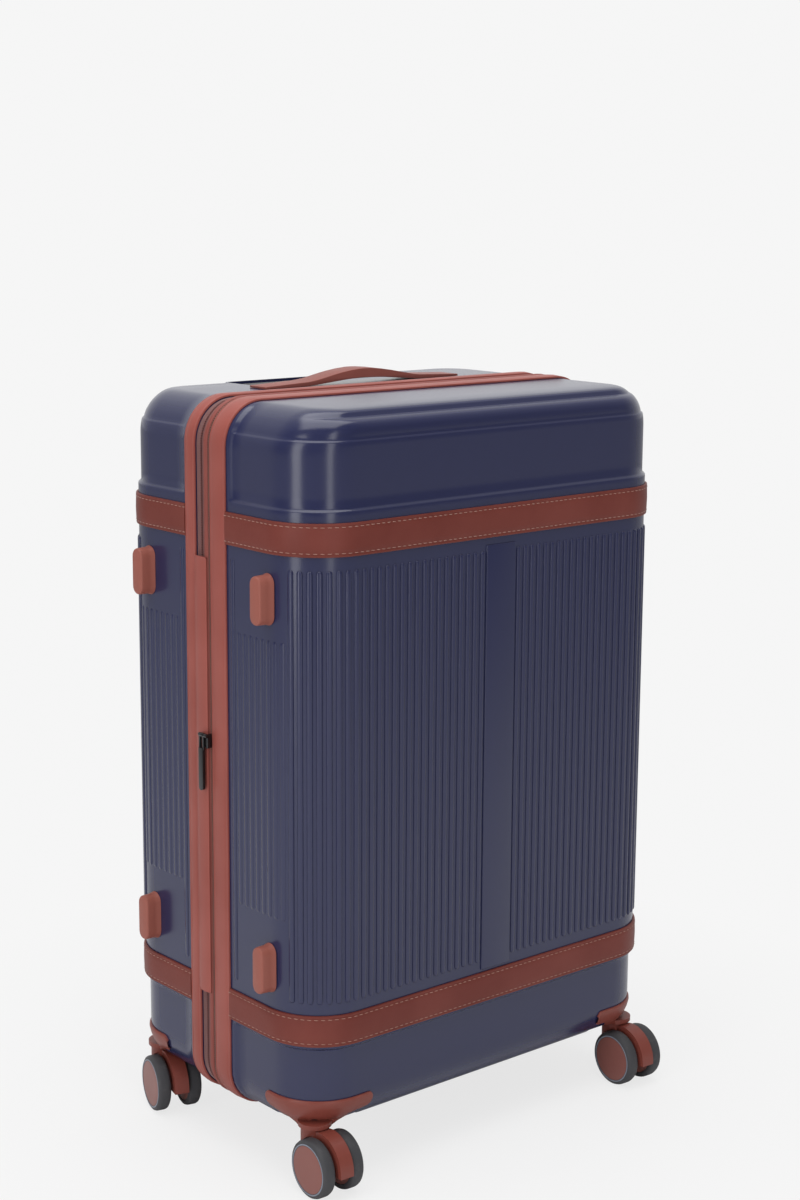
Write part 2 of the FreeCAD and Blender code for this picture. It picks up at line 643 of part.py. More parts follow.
def lock():
    low, high = "lock_middle - lock_half", "lock_middle + lock_half"
    plate = prism("lock_plate", "X", ("lock_front", "lock_rear", low, high),
                  "half_width + seat_gap", LOCK_FACE, "4")
    block = prism("lock_block", "X", ("lock_front + 3", "lock_rear - 3", low + " + 4",
                                      high + " - 4"),
                  "half_width - lock_inner", "half_width + seat_gap")
    tools = []
    for index in range(3):
        middle = "lock_middle + dial_pitch * %d" % (index - 1)
        tools.append(rod("dial_room_%d" % (index + 1), "Z", ("half_width", "dial_along"),
                         "%s - dial_wide / 2 - seat_gap" % middle,
                         "%s + dial_wide / 2 + seat_gap" % middle, "dial_radius + 0.5"))
        dial = rod("dial_disc_%d" % (index + 1), "Z", ("half_width + 1", "dial_along"),
                   "%s - dial_wide / 2" % middle, "%s + dial_wide / 2" % middle,
                   "dial_radius")
        bore = rod("dial_bore_%d" % (index + 1), "Z", ("half_width + 1", "dial_along"),
                   "lock_middle - lock_half", "lock_middle + lock_half", "1.5 + run_gap")
        tools[-1].Placement.Base.x = 0
        bind(tools[-1], "Placement.Base.x", "half_width + 1")
        finish(cut("dial_%d" % (index + 1), dial, bore), "lock_dial_%d" % (index + 1))
    for word, sign in (("upper", "+"), ("lower", "-")):
        reach = ["lock_middle %s (slider_pitch / 2 - puller_wide / 2 - seat_gap * 2)" % sign,
                 "lock_middle %s (lock_half + 1)" % sign]
        if sign == "-":
            reach.reverse()
        tools.append(prism("slot_" + word, "X", ("slot_along - 2", "slot_along + 2", *reach),
                           LOCK_FACE + " - 5", LOCK_FACE + " + 1"))
    near, far = "slot_along + 4.5", "slot_along + 15.5"
    tools.append(prism("release_room", "X", (near + " - seat_gap",
                 far + " + release_travel + seat_gap",
                 high + " - 9 - seat_gap", high + " - 3 + seat_gap"),
                 LOCK_FACE + " - 4", LOCK_FACE + " + 1"))
    spindle = rod("dial_spindle", "Z", ("half_width + 1", "dial_along"),
                  "lock_middle - lock_half + 5", "lock_middle + lock_half - 5", "1.5")
    case = cut_all("lock_case", joined("lock_union", plate, block), *tools)
    finish(joined("lock_whole", case, spindle), "lock_housing")
    release = prism("release_key", "X", (near, far, high + " - 9", high + " - 3"),
                    LOCK_FACE + " - 4 + seat_gap", LOCK_FACE + " + 1.2", "1.5")
    finish(release, "lock_release")


def lock_hole():
    low, high = "lock_middle - lock_half", "lock_middle + lock_half"
    return prism("lock_way", "X", ("lock_front + 3 - seat_gap", "lock_rear - 3 + seat_gap",
                 low + " + 4 - seat_gap", high + " - 4 + seat_gap"),
                 "half_width - lock_inner", "half_width + 1")


def main_sliders():
    """Two sliders on the main zip, their pullers laid over the trim into the lock."""
    pin_x = "half_width + seat_gap + slider_thick + 2.4"
    for word, sign in (("upper", "+"), ("lower", "-")):
        middle = "lock_middle %s slider_pitch / 2" % sign
        body = prism("slider_body_" + word, "X",
                     ("part_plane_main - slider_wide / 2", "part_plane_main + slider_wide / 2",
                      middle + " - slider_tall / 2", middle + " + slider_tall / 2"),
                     "half_width + seat_gap", "half_width + seat_gap + slider_thick", "2.5")
        ears = []
        for end, near in (("low", "-puller_wide / 2 - seat_gap - 1.4"),
                          ("high", "puller_wide / 2 + seat_gap")):
            base = "%s + %s" % (middle, near)
            ears.append(prism("slider_ear_%s_%s" % (word, end), "X",
                              ("part_plane_main - 2.2", "part_plane_main + 2.2",
                               base, base + " + 1.4"),
                              "half_width + seat_gap + slider_thick - 1", pin_x + " + 1.8"))
        pin = rod("slider_pin_" + word, "Z", (pin_x, "part_plane_main"),
                  middle + " - puller_wide / 2 - 1", middle + " + puller_wide / 2 + 1",
                  "puller_pin")
        finish(joined("slider_" + word, body, pin, *ears), "main_slider_" + word)
        main_puller(word, middle, pin_x)


def main_puller(word, middle, pin_x):
    low, high = middle + " - puller_wide / 2", middle + " + puller_wide / 2"
    eye = rod("puller_eye_" + word, "Z", (pin_x, "part_plane_main"), low, high, "2.1")
    near = LOCK_FACE + " + seat_gap"
    bar = prism("puller_bar_" + word, "Z", (near, near + " + puller_thick",
                "part_plane_main", "slot_along + 3"), low, high, ("0", "0", "1", "0"))
    web = prism("puller_web_" + word, "Z", (pin_x, near + " + puller_thick",
                "part_plane_main - 1", "part_plane_main + 3"), low, high)
    tip = prism("puller_tip_" + word, "Z", (LOCK_FACE + " - 4", near, "slot_along - 1.3",
                "slot_along + 1.3"), low, high)
    bore = rod("puller_bore_" + word, "Z", (pin_x, "part_plane_main"), low + " - 1",
               high + " + 1", "puller_pin + run_gap")
    body = cut("puller_" + word, joined("puller_union_" + word, eye, bar, web, tip), bore)
    finish(body, "main_puller_" + word)


def expansion_slider():
    """Slider of the expansion zip, and its long puller hanging on a ring over the panel."""
    middle = "expand_slider_middle"
    trim_top = "half_width + seat_gap + trim_thick"
    body = prism("expand_body", "X", ("-part_plane_expand - 3.4", "-piping_front - seat_gap",
                 middle + " - 7", middle + " + 7"),
                 "-(%s + seat_gap + 4.6)" % trim_top, "-(%s + seat_gap)" % trim_top, "1.4")
    neck = prism("expand_neck", "X", ("-front_edge + seat_gap", "-piping_front - seat_gap",
                 middle + " - 6", middle + " + 6"),
                 "-(%s + seat_gap + 1)" % trim_top, "-(half_width + seat_gap)")
    pin_x = "-(%s + seat_gap + 5.2)" % trim_top
    pin_z = middle + " + 5.6"
    pin = rod("expand_pin", "Y", (pin_x, pin_z), "-part_plane_expand - 2", "3", "puller_pin")
    lug = rod("expand_lug", "Y", (pin_x, pin_z), "-part_plane_expand - 3.4",
              "-piping_front - seat_gap", "1.9")
    finish(joined("expand_slider", body, neck, pin, lug), "expansion_slider")
    eye = rod("ring_eye", "Y", (pin_x, pin_z), "-piping_front + 0.3", "3.6", "2")
    bars = []
    for end, near, far in (("front", "-piping_front + 0.3", "-2.2"), ("rear", "1.3", "3.6")):
        bars.append(prism("ring_bar_" + end, "X", (near, far, pin_z + " - 15", pin_z),
                          pin_x + " - 1.1", pin_x + " + 1.1"))
    tab = prism("puller_tab", "X", ("-3.4", "3.6", pin_z + " - expand_puller_long",
                pin_z + " - 13"), pin_x + " - 1.6", pin_x + " + 1.4",
                ("3.2", "3.2", "1", "1"))
    bore = rod("ring_bore", "Y", (pin_x, pin_z), "-part_plane_expand - 4", "3 + seat_gap",
               "puller_pin + run_gap")
    finish(cut("ring_and_tab", joined("ring_union", eye, tab, *bars), bore),
           "expansion_puller")


# ---------------------------------------------------------------- inside

LINING_FLOOR = "pocket_ceiling + wall * 2 + seat_gap * 4"


def lining(front):
    word = "front" if front else "rear"
    thick = "lining_thick"
    high = "case_high - wall - seat_gap * 3" if front else "rear_lining_high"
    face = "front_lining_face" if front else "rear_lining_face"
    edge = "front_lining_rear" if front else "rear_edge + seat_gap"
    blocks = []
    for part, inset in (("_out", "0"), ("_in", thick)):
        grow = "wall + seat_gap + (%s)" % inset
        wide = "half_width - (%s)" % grow
        stop = edge if part == "_out" else edge + " - 2"
        near, far = ("-(%s - %s)" % (face, inset), "-(%s)" % stop) if front \
            else (stop, "%s - %s" % (face, inset))
        room = prism("%s_lining%s_room" % (word, part), "Y",
                     ("-(%s)" % wide, wide, LINING_FLOOR + " + " + inset,
                      "%s - %s" % (high, inset)), near, far, "outline_round / 2")
        blocks.append(shared("%s_lining%s" % (word, part), room,
                             case_solid("%s_lining%s_case" % (word, part), grow, front)))
    tools = [blocks[1]]
    if not front:
        tools += lining_notches()
    return finish(cut_all(word + "_liner", blocks[0], *tools), word + "_lining")


def lining_notches():
    """Room in the rear lining for the lock's body and the side handle's sockets."""
    block = prism("lining_lock_room", "X", ("lock_front + 3 - 1", "lock_rear - 3 + 1",
                  "lock_middle - lock_half + 3", "lock_middle + lock_half - 3"),
                  "half_width - lock_inner - 1", "half_width")
    rooms = [rod("lining_socket_room" + end, "X",
                 ("side_handle_along", "side_handle_middle %s handle_post" % sign),
                 "half_width - wall * 2 - socket_deep", "half_width", "socket_radius + seat_gap")
             for end, sign in (("_low", "-"), ("_high", "+"))]
    return [block] + rooms


def lid_pocket():
    """Flat pocket panel sewn on the front lining's inner face."""
    face = "front_lining_face - lining_thick - seat_gap"
    panel = prism("pocket_sheet", "Y", ("-pocket_half", "pocket_half", "pocket_low",
                  "pocket_high"), "-(%s)" % face, "-(%s) + pocket_thick" % face,
                  "pocket_round")
    return finish(panel, "lid_pocket")


def packing_straps():
    """Four webbing arms from the rear lining's sides to the buckle in the middle."""
    reach = number("half_width - wall - seat_gap * 2 - lining_thick")
    rise = number("strap_rise")
    half = number("buckle_half")
    wide = number("strap_wide") / 2
    along = number("strap_along")
    middle = number("(case_low + case_high) / 2")
    arms = []
    for across in (-1, 1):
        for up in (-1, 1):
            slope = rise / (reach - half)
            near = (across * half, middle + up * wide * 0.6)
            far = (across * reach, middle + up * (wide * 0.6 + rise))
            edge = wide * math.hypot(1, slope) * 0.5
            corners = [(near[0], near[1] - edge), (far[0], far[1] - edge),
                       (far[0], far[1] + edge), (near[0], near[1] + edge)]
            if up * (near[1] - edge * up - middle) < 0:
                corners[0 if up > 0 else 3] = (near[0], middle + up * 0.2)
            points = [FreeCAD.Vector(x, along, z) for x, z in corners]
            face = Part.Face(Part.makePolygon(points + points[:1]))
            arms.append(face.extrude(FreeCAD.Vector(0, number("strap_thick"), 0)))
    thing = doc.addObject("Part::Feature", "strap_arms")
    thing.Shape = Part.makeCompound(arms)
    finish(thing, "packing_straps")
    middle_text = "(case_low + case_high) / 2"
    buckle = prism("buckle_plate", "Y", ("-buckle_half + seat_gap", "buckle_half - seat_gap",
                   middle_text + " - strap_wide / 2", middle_text + " + strap_wide / 2"),
                   "strap_along - 4", "strap_along + strap_thick + 4", "9")
    finish(buckle, "strap_buckle")


def screws():
    """Screws down through the shell's pocket walls into the rear caster housings."""
    pieces = []
    for side, sign in (("left", -1), ("right", 1)):
        for index, (u, v) in enumerate(SCREW_SPOTS):
            name = "screw_%s_%d" % (side, index + 1)
            centre = ("%d * (post_across %s)" % (sign, u), "post_along %s" % v)
            top = "pocket_ceiling + wall + seat_gap"
            shank = rod(name + "_shank", "Z", centre, "pocket_ceiling - 2.6", top,
                        "screw_radius")
            head = rod(name + "_head", "Z", centre, top, top + " + 2", "screw_head")
            pieces.append(joined(name, shank, head))
    finish(joined("screw_set", *pieces), "rear_screws")


SCREW_SPOTS = (("- 28", "- 28"), ("- 28", "- 4"), ("- 4", "- 28"))


def screw_holes(name, side):
    holes = []
    for index, (u, v) in enumerate(SCREW_SPOTS):
        centre = ("%d * (post_across %s)" % ({"left": -1, "right": 1}[side], u),
                  "post_along %s" % v)
        holes.append(rod("%s_%s_%d" % (name, side, index + 1), "Z", centre,
                         "pocket_ceiling - wall", "pocket_ceiling * 2",
                         "screw_radius + run_gap"))
    return holes


# ---------------------------------------------------------------- build and write

def check(thing):
    """Stop when an object failed or a sub-part's shape is empty or broken."""
    for state in thing.State:
        if state in ("Invalid", "Error"):
            raise RuntimeError("%s is %s" % (thing.Name, state))


def main():
    shell(True, [])
    shell(False, socket_holes() + [trolley_hole(), lock_hole()]
          + screw_holes("shell_hole", "left") + screw_holes("shell_hole", "right"))
    zip_bands()
    belts(True)
    belts(False)
    hinge_panel()
    side_feet(True)
    side_feet(False)
    casters()
    carry_handles()
    trolley()
    lock()
    main_sliders()
    expansion_slider()
    lining(True)
    lining(False)
    lid_pocket()
    packing_straps()
    screws()
    doc.recompute()
    for thing in doc.Objects:
        check(thing)
    for node in NODES:
        if node.Shape.isNull() or not node.Shape.isValid():
            raise RuntimeError("%s has no valid shape" % node.Label)
    os.makedirs("parts", exist_ok=True)
    for node in NODES:
        node.Shape.exportStep("parts/%s.step" % node.Label)
        print("%-26s %2d solids %12.1f mm3" % (node.Label, len(node.Shape.Solids),
                                             node.Shape.Volume))
    print(len(NODES), "nodes")


main()
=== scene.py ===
import bpy
import math
from mathutils import Euler, Matrix, Vector


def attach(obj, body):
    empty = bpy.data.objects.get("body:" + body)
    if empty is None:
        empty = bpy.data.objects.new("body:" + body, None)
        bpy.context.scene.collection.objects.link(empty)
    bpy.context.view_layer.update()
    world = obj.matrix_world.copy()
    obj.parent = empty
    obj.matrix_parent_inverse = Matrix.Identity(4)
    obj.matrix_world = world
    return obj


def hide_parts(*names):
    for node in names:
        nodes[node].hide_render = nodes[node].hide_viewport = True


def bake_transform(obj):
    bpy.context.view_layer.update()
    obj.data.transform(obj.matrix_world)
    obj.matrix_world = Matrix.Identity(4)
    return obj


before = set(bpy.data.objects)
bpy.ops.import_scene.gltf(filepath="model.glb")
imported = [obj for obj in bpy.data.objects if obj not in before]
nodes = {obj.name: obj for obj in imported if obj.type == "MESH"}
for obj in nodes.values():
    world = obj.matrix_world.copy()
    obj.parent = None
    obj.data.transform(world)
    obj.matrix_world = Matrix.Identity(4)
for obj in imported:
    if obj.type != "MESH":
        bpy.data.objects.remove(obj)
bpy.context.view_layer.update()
mm = 0.001


# values given in mm, alone, in rows or in dictionaries, as metres
def metres(value):
    if isinstance(value, dict):
        return {word: metres(some) for word, some in value.items()}
    return [metres(some) for some in value] if isinstance(value, (list, tuple)) else value * mm


print("frame loaded")

caseSize = metres({
    "halfWidth": 238.5, "faceDepth": 158.5, "low": 52, "high": 759,
    "planRound": 60, "outlineRound": 42, "frontEdge": 8.3, "rearEdge": 16.3,
    "frontTrimFace": 33, "rearTrimFace": 32.6,
})


# the word, the side and the body of each half
halves = (("front", -1, "front"), ("rear", 1, "root"))


def deselectAll():
    for item in bpy.context.selected_objects:
        item.select_set(False)


def pick(piece):
    deselectAll()
    piece.select_set(True)
    bpy.context.view_layer.objects.active = piece


def smooth(piece, angle):
    pick(piece)
    bpy.ops.object.shade_smooth_by_angle(angle=math.radians(angle))
    return piece


def newObject(name, data):
    made = bpy.data.objects.new(name, data)
    bpy.context.scene.collection.objects.link(made)
    return made


def editAll(piece):
    pick(piece)
    bpy.ops.object.mode_set(mode="EDIT")
    bpy.ops.mesh.select_all(action="SELECT")


# a new mesh object, left in edit mode with everything selected
def startMesh(name, points, edges, faces):
    data = bpy.data.meshes.new(name)
    data.from_pydata([tuple(p) for p in points], edges, faces)
    piece = newObject(name, data)
    editAll(piece)
    return piece


# weld points nearer than a distance, turn the faces outward and shade
def endMesh(piece, weld, smoothAngle):
    if weld:
        bpy.ops.mesh.remove_doubles(threshold=weld)
    bpy.ops.mesh.normals_make_consistent(inside=False)
    bpy.ops.object.mode_set(mode="OBJECT")
    return smooth(piece, smoothAngle)


def meshPiece(name, points, faces, smoothAngle=40):
    return endMesh(startMesh(name, points, [], faces), 0.00002, smoothAngle)


# faces between rows of points, each row a section with the same count of points
def rowFaces(rows, count, closedPath=False, closedSection=True):
    faces = []
    for row in range(rows if closedPath else rows - 1):
        nextRow = (row + 1) % rows
        for k in range(count if closedSection else count - 1):
            after = (k + 1) % count
            faces.append((row * count + k, row * count + after,
                          nextRow * count + after, nextRow * count + k))
    if closedSection and not closedPath:
        faces.append(tuple(range(count)))
        faces.append(tuple((rows - 1) * count + k for k in range(count)))
    return faces


# apply place, turn and size so that the object sits at the origin
def settle(piece):
    pick(piece)
    bpy.ops.object.transform_apply(location=True, rotation=True, scale=True)
    return piece


def useModifier(piece, kind, **values):
    pick(piece)
    modifier = piece.modifiers.new(kind.lower(), kind)
    for word, value in values.items():
        setattr(modifier, word, value)
    bpy.ops.object.modifier_apply(modifier=modifier.name)


# a block between two corners with rounded edges
def softBox(name, low, high, edge, segments=3):
    deselectAll()
    size = [b - a for a, b in zip(low, high)]
    middle = [(a + b) / 2 for a, b in zip(low, high)]
    bpy.ops.mesh.primitive_cube_add(size=1, location=middle, scale=size)
    piece = bpy.context.object
    piece.name = name
    settle(piece)
    useModifier(piece, "BEVEL", width=min(edge, min(size) * 0.49), segments=segments)
    return smooth(piece, 40)


def joinPieces(pieces, name):
    deselectAll()
    for piece in pieces:
        piece.select_set(True)
    bpy.context.view_layer.objects.active = pieces[0]
    bpy.ops.object.join()
    pieces[0].name = name
    return pieces[0]


def carve(piece, tool, operation="DIFFERENCE"):
    useModifier(piece, "BOOLEAN", operation=operation, object=tool, solver="MANIFOLD")
    bpy.data.objects.remove(tool)
    return piece


# give a finished piece its material and body, and hide the nodes it stands for
def dress(piece, material, body, slotName, *replaced):
    piece.data.materials.clear()
    piece.data.materials.append(material)
    if body:
        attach(piece, body)
    if replaced:
        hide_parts(*replaced)
    return piece


# points of a quarter turn; lift turns a flat (u, v) into the case's own X, Y and Z
def roundCorner(centre, radius, first, steps, lift):
    found = []
    for step in range(steps + 1):
        angle = math.radians(first + 90 * step / steps)
        out = (math.cos(angle), math.sin(angle))
        found.append((lift(centre[0] + radius * out[0], centre[1] + radius * out[1]),
                      lift(*out, True)))
    return found


# closed path round the case's outline in the plane of the main zip
def ringPath(sideSteps):
    halfWide, radius = caseSize["halfWidth"], caseSize["outlineRound"]
    low, high = caseSize["low"], caseSize["high"]

    def lift(u, v, direction=False):
        return Vector((u, 0, v))
    corners = ((halfWide - radius, low + radius, -90), (halfWide - radius, high - radius, 0),
               (radius - halfWide, high - radius, 90), (radius - halfWide, low + radius, 180))
    found = []
    for u, v, first in corners:
        found += roundCorner((u, v), radius, first, 12, lift)
    return spread([(p, n, Vector((0, 1, 0))) for p, n in found], sideSteps, True)


# open path round one half's face from the right side to the left; side is -1 at the front
def beltPath(z, side, nearY, cornerSteps=14, sideSteps=1):
    halfWide, deep, radius = (caseSize[word] for word in ("halfWidth", "faceDepth", "planRound"))

    def lift(u, v, direction=False):
        return Vector((u, side * v, 0 if direction else z))
    found = [(lift(halfWide, nearY), Vector((1, 0, 0)))]
    found += roundCorner((halfWide - radius, deep - radius), radius, 0, cornerSteps, lift)
    found += roundCorner((radius - halfWide, deep - radius), radius, 90, cornerSteps, lift)
    found.append((lift(-halfWide, nearY), Vector((-1, 0, 0))))
    return spread([(p, n, Vector((0, 0, 1))) for p, n in found], sideSteps, False)


# each point of a path with the one after it
def runs(path, closed):
    return zip(path, path[1:] + path[:1] if closed else path[1:])


# share each long straight run of a path into the given number of steps
def spread(path, steps, closed):
    found = []
    for here, there in runs(path, closed):
        count = steps if (there[0] - here[0]).length > 30 * mm else 1
        for step in range(count):
            t = step / count
            found.append((here[0].lerp(there[0], t), here[1].lerp(there[1], t).normalized(),
                          here[2]))
    if not closed:
        found.append(path[-1])
    return found


# carry a section of (sideways, outward) points along a path
def sweep(name, path, section, closedPath=False, smoothAngle=40):
    points = [place + sideways * b + out * n for place, out, sideways in path for b, n in section]
    return meshPiece(name, points, rowFaces(len(path), len(section), closedPath), smoothAngle)


# evenly spaced frames along a path: (point, outward, sideways, forward)
def along(path, pitch, closed, start=0.0):
    found = []
    carried = start
    for here, there in runs(path, closed):
        gap = there[0] - here[0]
        length = gap.length
        while carried < length:
            t = carried / length
            found.append((here[0].lerp(there[0], t), here[1].lerp(there[1], t).normalized(),
                          here[2], gap.normalized()))
            carried += pitch
        carried -= length
    return found


# one small rounded bar at each frame; size is (forward, sideways, outward)
def scatterBars(name, frames, size, lift, shift, slant=0.0):
    ring = ((-1, -0.6), (0, -1), (1, -0.6), (1, 0.6), (0, 1), (-1, 0.6))
    points, faces = [], []
    for place, out, sideways, forward in frames:
        base = place + sideways * shift + out * lift
        tilt = (forward + sideways * slant).normalized()
        cross = out.cross(tilt).normalized()
        first = len(points)
        for height, grow in ((0, 1), (1, 0.7)):
            points += [base + tilt * a * size[0] / 2 * grow + cross * b * size[1] / 2 * grow
                       + out * size[2] * height for a, b in ring]
        for k in range(6):
            j = (k + 1) % 6
            faces.append((first + k, first + j, first + 6 + j, first + 6 + k))
        faces.append(tuple(first + 6 + k for k in range(6)))
        faces.append(tuple(first + 5 - k for k in range(6)))
    return endMesh(startMesh(name, points, [], faces), 0, 60)


def addNode(tree, kind, **values):
    node = tree.nodes.new(kind)
    for word, value in values.items():
        if word in node.inputs:
            node.inputs[word].default_value = value
        else:
            setattr(node, word, value)
    return node


# a group of numbers in and out; gives the group, its two ends and the object's coordinates
def newGroup(name, inputs, outputs):
    group = bpy.data.node_groups.new(name, "ShaderNodeTree")
    for word, value in inputs.items():
        made = group.interface.new_socket(word, in_out="INPUT", socket_type="NodeSocketFloat")
        made.default_value = value
    for word in outputs:
        group.interface.new_socket(word, in_out="OUTPUT", socket_type="NodeSocketFloat")
    start, stop = addNode(group, "NodeGroupInput"), addNode(group, "NodeGroupOutput")
    return group, start, stop, addNode(group, "ShaderNodeTexCoord").outputs["Object"]


def wire(source, target):
    source.id_data.links.new(source, target)


def mathNode(tree, operation, *values, clamp=False):
    node = addNode(tree, "ShaderNodeMath", operation=operation, use_clamp=clamp)
    for value, socket in zip(values, node.inputs):
        if isinstance(value, (int, float)):
            socket.default_value = value
        else:
            wire(value, socket)
    return node.outputs[0]


def rangeOf(tree, source, low, high, fromLow=0.0, fromHigh=1.0):
    node = addNode(tree, "ShaderNodeMapRange")
    for word, value in (("From Min", fromLow), ("From Max", fromHigh), ("To Min", low),
                        ("To Max", high)):
        node.inputs[word].default_value = value
    wire(source, node.inputs["Value"])
    return node.outputs["Result"]


# pebbled hide: a height and a mask of the creases between pebbles
def leatherGrainGroup():
    group, start, stop, place = newGroup("leatherGrain", {"Scale": 900.0},
                                         ("Height", "Crease", "Mottle"))
    pebbles = addNode(group, "ShaderNodeTexVoronoi", feature="SMOOTH_F1", Smoothness=0.6)
    warp = addNode(group, "ShaderNodeTexNoise", Scale=420.0, Detail=2.0)
    blotch = addNode(group, "ShaderNodeTexNoise", Scale=14.0, Detail=3.0)
    for node in (pebbles, warp, blotch):
        wire(place, node.inputs["Vector"])
    wire(start.outputs["Scale"], pebbles.inputs["Scale"])
    high = mathNode(group, "SUBTRACT", 1.0, pebbles.outputs["Distance"])
    mixed = mathNode(group, "MULTIPLY_ADD", warp.outputs["Fac"], 0.4, high)
    crease = mathNode(group, "MULTIPLY", pebbles.outputs["Distance"],
                      pebbles.outputs["Distance"], clamp=True)
    wire(mixed, stop.inputs["Height"])
    wire(crease, stop.inputs["Crease"])
    wire(blotch.outputs["Fac"], stop.inputs["Mottle"])
    return group


# plain weave on two directions of the object: a height, and a colour mask that is a random fibre
# tone times the weave height, so painted shade darkens the dips between threads
def weaveGroup():
    group, start, stop, place = newGroup("clothWeave", {"Pitch": 0.0012}, ("Height", "FibreToneAndShade"))
    parts = addNode(group, "ShaderNodeSeparateXYZ")
    wire(place, parts.inputs[0])
    turn = mathNode(group, "DIVIDE", math.tau, start.outputs["Pitch"])
    waves = []
    flat = mathNode(group, "ADD", parts.outputs["X"], parts.outputs["Y"])
    for source in (flat, parts.outputs["Z"]):
        phase = mathNode(group, "MULTIPLY", source, turn)
        waves.append(mathNode(group, "SINE", phase))
    product = mathNode(group, "MULTIPLY", waves[0], waves[1])
    height = mathNode(group, "MULTIPLY_ADD", product, 0.5, 0.5)
    fibre = addNode(group, "ShaderNodeTexNoise", Scale=900.0, Detail=2.0)
    wire(place, fibre.inputs["Vector"])
    # partly real, partly painted shade: random fibre tone, times the weave height, so the colour
    # darkens where the weave dips
    fibreTimesShade = mathNode(group, "MULTIPLY", fibre.outputs["Fac"], height, clamp=True)
    wire(height, stop.inputs["Height"])
    wire(fibreTimesShade, stop.inputs["FibreToneAndShade"])
    return group


# fine moulding texture, faint scuffs and a slow cloud
def surfaceGroup():
    group, start, stop, place = newGroup("mouldedSurface", {"Grain": 1400.0, "Scuff": 26.0},
                                         ("Height", "Scuffs", "Cloud"))
    fine = addNode(group, "ShaderNodeTexNoise", Detail=2.0)
    scuff = addNode(group, "ShaderNodeTexNoise", Detail=6.0, Roughness=0.7)
    cloud = addNode(group, "ShaderNodeTexNoise", Scale=5.0, Detail=2.0)
    for node in (fine, scuff, cloud):
        wire(place, node.inputs["Vector"])
    wire(start.outputs["Grain"], fine.inputs["Scale"])
    wire(start.outputs["Scuff"], scuff.inputs["Scale"])
    scuffs = rangeOf(group, scuff.outputs["Fac"], 0.0, 1.0, 0.56, 0.75)
    wire(fine.outputs["Fac"], stop.inputs["Height"])
    wire(scuffs, stop.inputs["Scuffs"])
    wire(cloud.outputs["Fac"], stop.inputs["Cloud"])
    return group


groups = {"leather": leatherGrainGroup(), "weave": weaveGroup(), "surface": surfaceGroup()}


# a material whose colour, roughness and bump follow the outputs of one group
def newMaterial(name, groupName, colours, mask, rough, bump, groupValues, values):
    material = bpy.data.materials.new(name)
    material.use_nodes = True
    tree = material.node_tree
    shader = tree.nodes["Principled BSDF"]
    effect = addNode(tree, "ShaderNodeGroup", node_tree=groups[groupName])
    for node, some in ((effect, groupValues), (shader, values)):
        for word, value in some.items():
            node.inputs[word].default_value = value
    source = effect.outputs[mask[0]]
    if mask[1:]:
        source = rangeOf(tree, source, 0.0, 1.0, *mask[1:])
    mix = addNode(tree, "ShaderNodeMix", data_type="RGBA")
    for socket, colour in zip("AB", colours):
        mix.inputs[socket].default_value = (*colour, 1)
    wire(source, mix.inputs["Factor"])
    wire(mix.outputs["Result"], shader.inputs["Base Color"])
    wire(rangeOf(tree, effect.outputs[rough[0]], *rough[1:]), shader.inputs["Roughness"])
    bumps = addNode(tree, "ShaderNodeBump", Strength=bump[0], Distance=bump[1])
    wire(effect.outputs["Height"], bumps.inputs["Height"])
    wire(bumps.outputs["Normal"], shader.inputs["Normal"])
    return material


def leatherMaterial(name, dark, light, scale=900.0, roughness=(0.42, 0.6), bump=0.25):
    return newMaterial(name, "leather", (dark, light), ("Mottle", 0.35, 0.65),
                       ("Crease", *roughness), (bump, 0.0002), {"Scale": scale},
                       {"Specular IOR Level": 0.25})


def clothMaterial(name, dark, light, pitch=0.0012, bump=0.5):
    # the colour follows the weave's mask, which holds a random fibre tone and painted shade in the
    # dips between threads
    return newMaterial(name, "weave", (dark, light), ("FibreToneAndShade",), ("Height", 0.9, 0.7),
                       (bump, 0.0003), {"Pitch": pitch},
                       {"Sheen Weight": 0.3, "Sheen Roughness": 0.5})


def mouldedMaterial(name, base, scuffed, roughness=(0.3, 0.42), grain=1400.0, scuff=26.0,
                    bump=0.08, metallic=0.0, coat=0.0, gloss=0.35):
    return newMaterial(name, "surface", (base, scuffed), ("Scuffs",),
                       ("Cloud", *roughness, 0.3, 0.7), (bump, 0.0001),
                       {"Grain": grain, "Scuff": scuff},
                       {"Metallic": metallic, "Specular IOR Level": gloss,
                        "Coat Weight": coat, "Coat Roughness": 0.2})


shellMaterial = mouldedMaterial(
    "navyShell", (0.0185, 0.0215, 0.066), (0.0190, 0.0220, 0.067),
    roughness=(0.205, 0.225), grain=260.0, bump=0.008, gloss=0.5)
trimMaterial = leatherMaterial(
    "brownTrim", (0.262, 0.064, 0.050), (0.300, 0.080, 0.064), scale=1100.0,
    roughness=(0.40, 0.52), bump=0.12)
beltMaterial = leatherMaterial(
    "darkBelt", (0.142, 0.027, 0.019), (0.172, 0.038, 0.028), scale=800.0,
    roughness=(0.45, 0.6), bump=0.3)
pipingMaterial = leatherMaterial("piping", (0.205, 0.050, 0.040), (0.235, 0.062, 0.050))
handleMaterial = leatherMaterial(
    "handleHide", (0.225, 0.066, 0.052), (0.260, 0.080, 0.064), scale=900.0, bump=0.18)
threadMaterial = clothMaterial(
    "tanThread", (0.30, 0.15, 0.11), (0.48, 0.27, 0.21), pitch=0.0006, bump=0.4)
tapeMaterial = clothMaterial("zipTape", (0.11, 0.030, 0.026), (0.20, 0.058, 0.052), pitch=0.001)
gussetMaterial = clothMaterial("gussetCloth", (0.05, 0.018, 0.018), (0.12, 0.045, 0.045))
coilMaterial = mouldedMaterial(
    "darkCoil", (0.040, 0.013, 0.014), (0.06, 0.022, 0.022), roughness=(0.5, 0.65), gloss=0.15)
